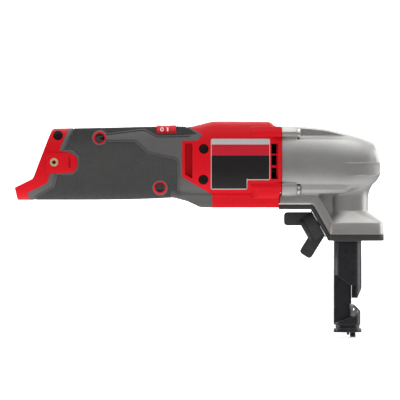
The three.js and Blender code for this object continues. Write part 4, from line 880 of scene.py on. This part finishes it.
def screw(node, axis, facing, head, tall, shank, drive):
    """A screw drawn along its own node's box: head with a lobed drive, thread below."""
    low, high = ([c / MM for c in corner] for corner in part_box(node))
    k = "xyz".index(axis)
    at = [0 if i == k else (low[i] + high[i]) / 2 for i in range(3)]
    top, tip = (low[k], high[k]) if facing < 0 else (high[k], low[k])
    under = top - facing * tall
    body = pin(head, min(top, under), max(top, under), 0.35, axis, at)
    thread = [(0, under), (shank, under)]
    length = abs(tip - under)
    turns = max(2, int((length - 1) / 1.1))
    for i in range(turns):
        start = 1 + i * (length - 2) / turns
        pitch = (length - 2) / turns
        thread += [(shank * 0.8, under - facing * start), (shank, under - facing * (start + pitch / 2))]
    thread += [(shank * 0.7, tip + facing * 0.6), (0, tip)]
    middle = [at[i] for i in range(3) if i != k]
    ends = sorted((top + facing, top - facing * 1.4))
    recess = prism([(u + middle[0], v + middle[1]) for u, v in star(drive)], *ends, axis)
    return less(joined(body, turned(thread, axis, 32, at)), recess)


for i in range(1, 6):
    piece(f"housing_screw_head_{i}", screw(f"housing_screw_{i}", "y", -1, 3.2, 2.4, 1.5, 1.35), "black_oxide",
          f"housing_screw_{i}", slot="dark_steel")
for i in range(1, 5):
    piece(f"case_screw_head_{i}", screw(f"case_screw_{i}", "x", 1, 3.7, 2.6, 1.7, 1.6), "zinc",
          f"case_screw_{i}", slot="dark_steel")


def insert(node):
    low, high = ([c / MM for c in corner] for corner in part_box(node))
    x, z = (low[0] + high[0]) / 2, (low[2] + high[2]) / 2
    face, back = (low[1], high[1]) if low[1] < 0 else (high[1], low[1])
    way = 1 if back > face else -1
    pitch = 0.35
    bore = [(1.4 + 0.25 * (i % 2), face + way * (0.5 + i * pitch))
            for i in range(int((abs(back - face) - 0.6) / pitch))]
    profile = [(3.1, back), (3.1, face + way * 0.3), (2.8, face), (1.8, face)] + bore + [(1.4, back)]
    return turned(profile, "y", 56, (x, 0, z))


for side in ("right", "left"):
    piece(f"{side}_threaded_insert", insert(f"{side}_clip_insert"), "brass", f"{side}_clip_insert")

# Gear case

CASE_ROWS = [(-1, 0.995, -0.935, 0.96), (-0.795, 1.005, -0.935, 1), (-0.644, 0.988, -0.935, 1),
             (-0.356, 0.935, -0.935, 0.985), (-0.105, 0.835, -0.935, 0.95), (0.322, 0.71, -0.8, 0.84),
             (0.62, 0.615, -0.67, 0.7), (0.828, 0.525, -0.55, 0.55), (0.94, 0.27, -0.43, 0.46),
             (1, 0.04, -0.33, 0.37)]
LEAN = math.radians(29.2)
STRUT_LEAN = math.tan(LEAN)
STRUT_FOOT = 12.9
STRUT_TOP = -STRUT_FOOT - 22.0 * STRUT_LEAN
FOOT_END = (-STRUT_FOOT, COLLAR_BOTTOM)
FLANGE_END = (-49.4, FLANGE_BOTTOM)
STRUT_LINE = [FLANGE_END, *arc(FLANGE_END, (STRUT_TOP, FLANGE_BOTTOM), FOOT_END, 2.6), FOOT_END]


def head_form():
    stations = [(a * (-HEAD_REAR if a < 0 else NOSE), AXIS + t * CASE_HALF, AXIS + b * CASE_HALF,
                 w * CASE_WIDE) for a, t, b, w in CASE_ROWS]
    head = loft([section(*row) for row in smooth_rows(stations, 1.2)])
    return less(head, *[nose_flat(side) for side in (-1, 1)])


def nose_flat(side):
    """What a flat band on the side of the nose leaves off: it fades into the round side further back."""
    rings = []
    for x, reach in ((-8, 26.2), (6, 21.3), (14, 16.6), (19.3, 12.6), (24, 8.2)):
        rings.append([(x, side * y, z)
                      for y, z in ((40, 112.4), (reach, 112.8), (reach, AXIS), (40, 122.2))])
    return loft(rings)


def neck_form():
    """Neck and collar in one loft: square collar below, round neck, flare into the head above."""
    stations = [(87.3, 1.25, 13.6, 13.6, 2.0), (97.7, 1.25, 13.87, 13.87, 2.0),
                (101.8, 1.25, 14.55, 14.55, 2.0), (106.6, 1.25, 17.0, 17.0, 2.0),
                (112.5, 1.25, 20.4, 20.4, 2.0)]
    neck = smooth_rows(stations, 1.0)
    collar = [(COLLAR_BOTTOM, 5.8, 19.9, 18.6, 4.6), (70.7, 5.8, 20.25, 18.95, 4.6),
              (78.4, 5.8, 20.15, 18.9, 4.6), (79.0, 5.75, 20.0, 18.75, 4.5), (79.6, 5.6, 19.5, 18.3, 4.3)]
    slope = [(79.6 + (86.6 - 79.6) * t, 5.6 + (1.6 - 5.6) * t, 19.5 + (13.95 - 19.5) * t,
              18.3 + (13.95 - 18.3) * t, 4.3 - 2.2 * t) for t in (0.25, 0.5, 0.75, 1)]
    rings = []
    for z, centre, long, wide, square in collar + slope + [tuple(row) for row in neck]:
        ring = []
        for i in range(112):
            along, across = squarish(i * 2 * math.pi / 112, square)
            ring.append((centre + along * long, across * wide, z))
        rings.append(ring)
    beyond = prism([(STRUT_TOP, FLANGE_BOTTOM), (-STRUT_FOOT + 12 * STRUT_LEAN, 58.4), (-60, 58.4),
                    (-60, FLANGE_BOTTOM)], -FAR, FAR)
    return less(loft(rings), beyond)


def scoop_cuts(side):
    """Channels before the case screws: the upper opens upward, the lower fades out before the nose."""
    upper = [(16, -4.2), (0.4, -4.2), (-3.0, -3.4), (-4.9, -1.5), (-4.9, 16), (16, 16)]
    cuts = [prism([(side * (SCREW_ACROSS + out), AXIS + UPPER_SCREW + up) for out, up in upper],
                  SCREW_POCKET, NOSE, "x")]
    fades = [(0, 1, 0), (0.48, 1, -0.2), (0.77, 0.95, -0.36), (0.92, 0.8, -0.54), (1, 0.45, -0.4)]
    for lower in ([(16, -0.3), (2.0, -0.3), (3.0, 4.0), (16, 4.0)],
                  [(16, -3.4), (-1.6, -3.4), (0.4, -0.2), (16, -0.2)]):
        cuts.append(loft([[(SCREW_POCKET + run * 41.2, side * (SCREW_ACROSS + out * size + shift),
                            AXIS + LOWER_SCREW + up * size) for out, up in lower]
                          for run, size, shift in fades]))
    return cuts


def cast_case():
    root = STRUT_TOP + 7.2 - 4.9 * STRUT_LEAN
    band = prism([*STRUT_LINE, (-STRUT_FOOT + 7.2, COLLAR_BOTTOM), (STRUT_TOP + 7.2, FLANGE_BOTTOM),
                  (root, 97.3), (root, 100.7), (HEAD_REAR, 100.7), (-49.4, 97.3)], -14, 14)
    web = prism([(STRUT_TOP, FLANGE_BOTTOM), FOOT_END, (0, COLLAR_BOTTOM), (0, 100.7), (STRUT_TOP, 100.7)],
                -6, 6)
    bosses = screw_bosses(UPPER_CASE_BOSS, LOWER_CASE_BOSS, HEAD_REAR, SCREW_POCKET, 0)
    scoops = (scoop_cuts(-1) + scoop_cuts(1)
              + at_case_screws(lambda at: pin(4.0, SCREW_POCKET, -33.7, 0.4, "x", at))
              + at_case_screws(lambda at: block((SCREW_POCKET, min(at[1], 4 * at[1]), at[2] - 3.9),
                                                (-34.3, max(at[1], 4 * at[1]), at[2] + 3.9))))
    body = joined(head_form(), neck_form(), softened(band, 0.7), web, *bosses)
    bores = [rod(19.2, -60, -38.7, "x", (0, 0, AXIS)), rod(TUBE_BORE, 40, 92.6, "z"),
             rod(8.7, 80, 102.7, "z"), block((-18, -10.7, 101), (6.7, 10.7, 137.6))]
    knob_line = turned([(0, -12), (2.75, -12), (2.75, 20), (0, 20)], "z", 40)
    rear = prism([(-70, 97.3), (-49.4, 97.3), (-48.2, 100.7), (HEAD_REAR, 100.7), (HEAD_REAR, 200),
                  (-70, 200)], -FAR, FAR)
    return less(body, *bores, *scoops, *at_case_screws(lambda at: rod(1.9, -60, -36.2, "x", at)),
                onto_knob_line(knob_line), rear)


# The knob's slanted line, from the strut's face outward

KNOB_LINE = Matrix(((math.sin(LEAN), 0, -math.cos(LEAN), -12.6 - 9.9 * STRUT_LEAN),
                    (0, -1, 0, 0),
                    (-math.cos(LEAN), 0, -math.sin(LEAN), 79.7),
                    (0, 0, 0, 1)))


def onto_knob_line(body):
    body.data.transform(KNOB_LINE)
    return body


piece("cast_gear_case", cast_case(), "cast_metal", "gear_case")


def guard():
    """Shoe under the case: thinner along the strut than under the flange and the collar."""
    lean = math.cos(LEAN)
    near = beside([(-49.5, FLANGE_BOTTOM), *STRUT_LINE[1:], (0, COLLAR_BOTTOM)], -0.2)
    turn = [(STRUT_TOP - 2.75 / lean + (FLANGE_BOTTOM - z) * STRUT_LEAN, z) for z in (88.5, GUARD_BOTTOM)]
    far = [(-49.5, 88.5), *turn, (0, GUARD_BOTTOM)]
    band = softened(prism(near + far[::-1], -13.5, 13.5), 0.7)
    rings = []
    for z, grow in ((GUARD_BOTTOM, -0.9), (66.15, -0.35), (66.6, -0.1), (69.9, 0), (70.2, -0.15)):
        rings.append([(5.8 + a * (20.3 + grow), b * (19 + grow), z) for a, b in
                      (squarish(i * 2 * math.pi / 112, 4.6) for i in range(112))])
    return less(joined(band, loft(rings)), rod(TUBE_BORE, 50, 90, "z", steps=72),
                onto_knob_line(rod(2.75, -3.7, 20)))


piece("guard_shoe", guard(), "black_plastic", "lower_guard")


def knob():
    """Wing knob: ribbed hub, flat back plate and two blunt wings."""
    face = 3.95
    ribs = []
    for t in (2 * math.pi * i / 180 for i in range(180)):
        radius = 9.75 - 0.5 * (0.5 - 0.5 * math.cos(30 * t)) ** 0.6
        ribs.append((radius * math.cos(t), radius * math.sin(t)))
    hub = prism(ribs, face, face + 8.05, "z")
    hub = within(hub, pin(9.9, face, face + 8.05, 0.25, "z", steps=96))
    plate = pin(9.15, face + 7.85, face + 10.75, 0.9, "z", steps=96)
    hub = less(hub, less(rod(12, face + 7.4, face + 7.85), rod(8.7, face, face + 9)))
    wings = []
    for side in (1, -1):
        outline = [(11.1, -5.1)] + rounded_corners([(11.1, -5.1), (30.9, -5.1), (30.9, 4.6), (11.1, 4.6)],
                                                   3.0, 6)[7:21] + [(11.1, 4.6)]
        bar = softened(prism([(along, side * across) for along, across in outline], -2.3, 2.3, "y"), 0.7)
        turn = Matrix.Rotation(-math.pi / 2 + side * math.radians(29), 4, "Y")
        bar.data.transform(Matrix.Translation((0, 0, -3.7)) @ turn)
        wings.append(less(bar, block((-40, -40, -40), (40, 40, face + 0.2))))
    return onto_knob_line(less(joined(hub, plate, *wings), rod(2.6, face - 2, face + 8.05)))


piece("wing_knob", knob(), "black_plastic", "clamp_knob")
WASHER = [(2.7, 3.2), (10.9, 3.2), (11.2, 3.45), (10.9, 3.85), (2.7, 3.85)]
# The washer's slot is bright steel; its dark steel finish is painted shade for the gap between the knob's hub
# and the guard.
piece("pressed_washer", onto_knob_line(turned(WASHER, "z", 96)), "dark_steel", "knob_washer",
      slot="bright_steel")

# Die holder, cutting die, end ring and die screws


def scoops():
    outline = [(-22, 6.5), (-10.1, 6.5), (1.4, 10.4), (1.4, 34.4), (-8.2, 41.4), (-22, 41.4)]
    return [prism(outline, 3.1, 22), prism(outline, -22, -3.1)]


DIE = [(1.4, 20.2), (4.43, 20.2), (7.7, 14.88), (5.18, 10.99), (1.78, 10.7)]


def end_screws(top):
    """Room for the large and the small screw that come up into the die end."""
    return [rod(2.3, -12, top, "z", (3.75, 0, 0)), rod(1.2, -12, top, "z", (0.2, -6, 0))]


def holder():
    body = turned([(0, 3.2), (8.55, 3.2), (8.7, 3.4), (8.7, 5.4), (9.6, 5.45), (TUBE, 5.9), (TUBE, 64.6),
                   (9.9, 64.8), (9.9, 65.4), (TUBE, 65.6), (TUBE, 91.8), (9.6, 92.25), (6.35, 92.25),
                   (6.35, 46), (0, 46)], "z", 112)
    way = less(block((0, -3.85, 10.7), (3.05, 3.85, 39.75)), block((-1, -20, 0), (1.4, 20, 46)))
    throat = prism(rounded_corners([(1.4, 20.2), (22, 20.2), (22, 24.8), (1.4, 24.8)], 0.4), -20, 20)
    slots = [block((1.4, 3.6, 20.2), (5.5, 22, 34)), block((1.4, -22, 20.2), (5.5, -3.6, 34))]
    upper = prism([(6.8, 24.6), (22, 24.6), (22, 32.3), (TUBE, 32.3), (9.2, 29.7)], -20, 20)
    lower = prism([(4.43, 20.2), (9.2, 15.5), (9.2, 5.6), (22, 5.6), (22, 20.4), (4.43, 20.4)], -20, 20)
    seat = prism(grown(DIE, 0.1), -20, 20)
    return less(body, *scoops(), rod(2.65, 10.7, 58), way, throat, *slots, upper, lower, seat,
                *end_screws(7.8))


def die():
    body = within(prism(DIE, -7.4, 7.4), rod(9.9, 0, 60, steps=96))
    eye = [(4.42 + 0.65 * math.cos(t), 16.6 + 0.95 * math.sin(t))
           for t in (2 * math.pi * i / 24 for i in range(24))]
    return less(softened(body, 0.25, 2), block((-12, -3.7, -2), (2.9, 3.7, 24.8)), prism(eye, -20, 20))


piece("die_holder_tube", holder(), "blackened_steel", "die_holder")
piece("cutting_die_block", die(), "bright_steel", "cutting_die")


def end_ring():
    return less(pin(TUBE, 0, 3.0, 0.3, steps=112), *end_screws(8))


piece("die_end_ring", end_ring(), "blackened_steel", "die_ring")
piece("large_screw_head", screw("large_die_screw", "z", -1, 2.1, 3.0, 2.05, 1.1), "dark_steel",
      "large_die_screw")
piece("small_screw_head", screw("small_die_screw", "z", -1, 1.0, 1.6, 0.97, 0.5), "dark_steel",
      "small_die_screw")

# Floor, light and camera


def pale_sheet(finish, strength, name, corners, lower=0.0):
    """A flat sheet of the studio, with a glow of its own."""
    skin = Finish(finish)
    glow = skin.finished(skin.mix(skin.noise(40, 2), (0.88, 0.88, 0.88), (0.92, 0.92, 0.92)), 0.9,
                         emission_color=(1, 1, 1, 1), emission_strength=strength)
    sheet = bpy.data.objects.new(name, form(corners, [[0, 1, 2, 3]]).data.copy())
    sheet.data.transform(Matrix.Scale(MM, 4))
    sheet.data.transform(Matrix.Translation((0, 0, lower)))
    sheet.data.materials.append(glow)
    bpy.context.scene.collection.objects.link(sheet)
    return sheet


def stage():
    floor = pale_sheet("pale_floor", 0.45, "floor", [(-6000, -9000, 0), (6000, -9000, 0), (6000, 6000, 0),
                                                     (-6000, 6000, 0)], cad_box[0][2] - 0.0003)
    backdrop = pale_sheet("white_screen", 1.0, "backdrop", [(-9000, 5990, -10), (9000, 5990, -10),
                                                            (9000, 5990, 5000), (-9000, 5990, 5000)])
    floor.visible_glossy = False


def lamp(name, place, size, power, aim=(-0.106, 0, 0.1)):
    light = bpy.data.lights.new(name, "AREA")
    light.shape = "RECTANGLE"
    light.size, light.size_y = size
    light.energy = power
    made = bpy.data.objects.new(name, light)
    made.location = place
    made.rotation_euler = (Vector(aim) - Vector(place)).to_track_quat("-Z", "Y").to_euler()
    bpy.context.scene.collection.objects.link(made)


def light():
    """A pale dome, bright overhead and underfoot and dim at the horizon, with a sun and two side lamps."""
    world = bpy.data.worlds.new("studio")
    world.use_nodes = True
    nodes, links = world.node_tree.nodes, world.node_tree.links
    way = nodes.new("ShaderNodeTexCoord")
    part = nodes.new("ShaderNodeSeparateXYZ")
    steep = nodes.new("ShaderNodeMath")
    steep.operation = "ABSOLUTE"
    level = nodes.new("ShaderNodeMapRange")
    for name, value in (("From Min", 0.05), ("From Max", 0.75), ("To Min", 0.07), ("To Max", 0.85)):
        level.inputs[name].default_value = value
    links.new(way.outputs["Generated"], part.inputs[0])
    links.new(part.outputs[2], steep.inputs[0])
    links.new(steep.outputs[0], level.inputs["Value"])
    links.new(level.outputs[0], nodes["Background"].inputs["Strength"])
    nodes["Background"].inputs["Color"].default_value = (1, 1, 1, 1)
    bpy.context.scene.world = world
    bpy.context.scene.view_settings.view_transform = "Standard"
    sun = bpy.data.lights.new("overhead", "SUN")
    sun.energy, sun.angle = 0.6, 1.0
    bpy.context.scene.collection.objects.link(bpy.data.objects.new("overhead", sun))
    lamp("left", (-1.3, 0.3, 0.25), (0.5, 0.8), 3)
    lamp("right", (1.1, 0.3, 0.25), (0.5, 0.8), 3)


def camera():
    lens = bpy.data.cameras.new("portrait")
    lens.sensor_width = 36
    lens.lens = 500
    lens.clip_end = 60
    made = bpy.data.objects.new("portrait", lens)
    made.location = (-0.1062, -4.0, 0.0952)
    made.rotation_euler = (math.pi / 2, 0, 0)
    bpy.context.scene.collection.objects.link(made)
    bpy.context.scene.camera = made


stage()
light()
camera()

for scrap in [o for o in bpy.data.objects if o.name.startswith("form")]:
    bpy.data.objects.remove(scrap)
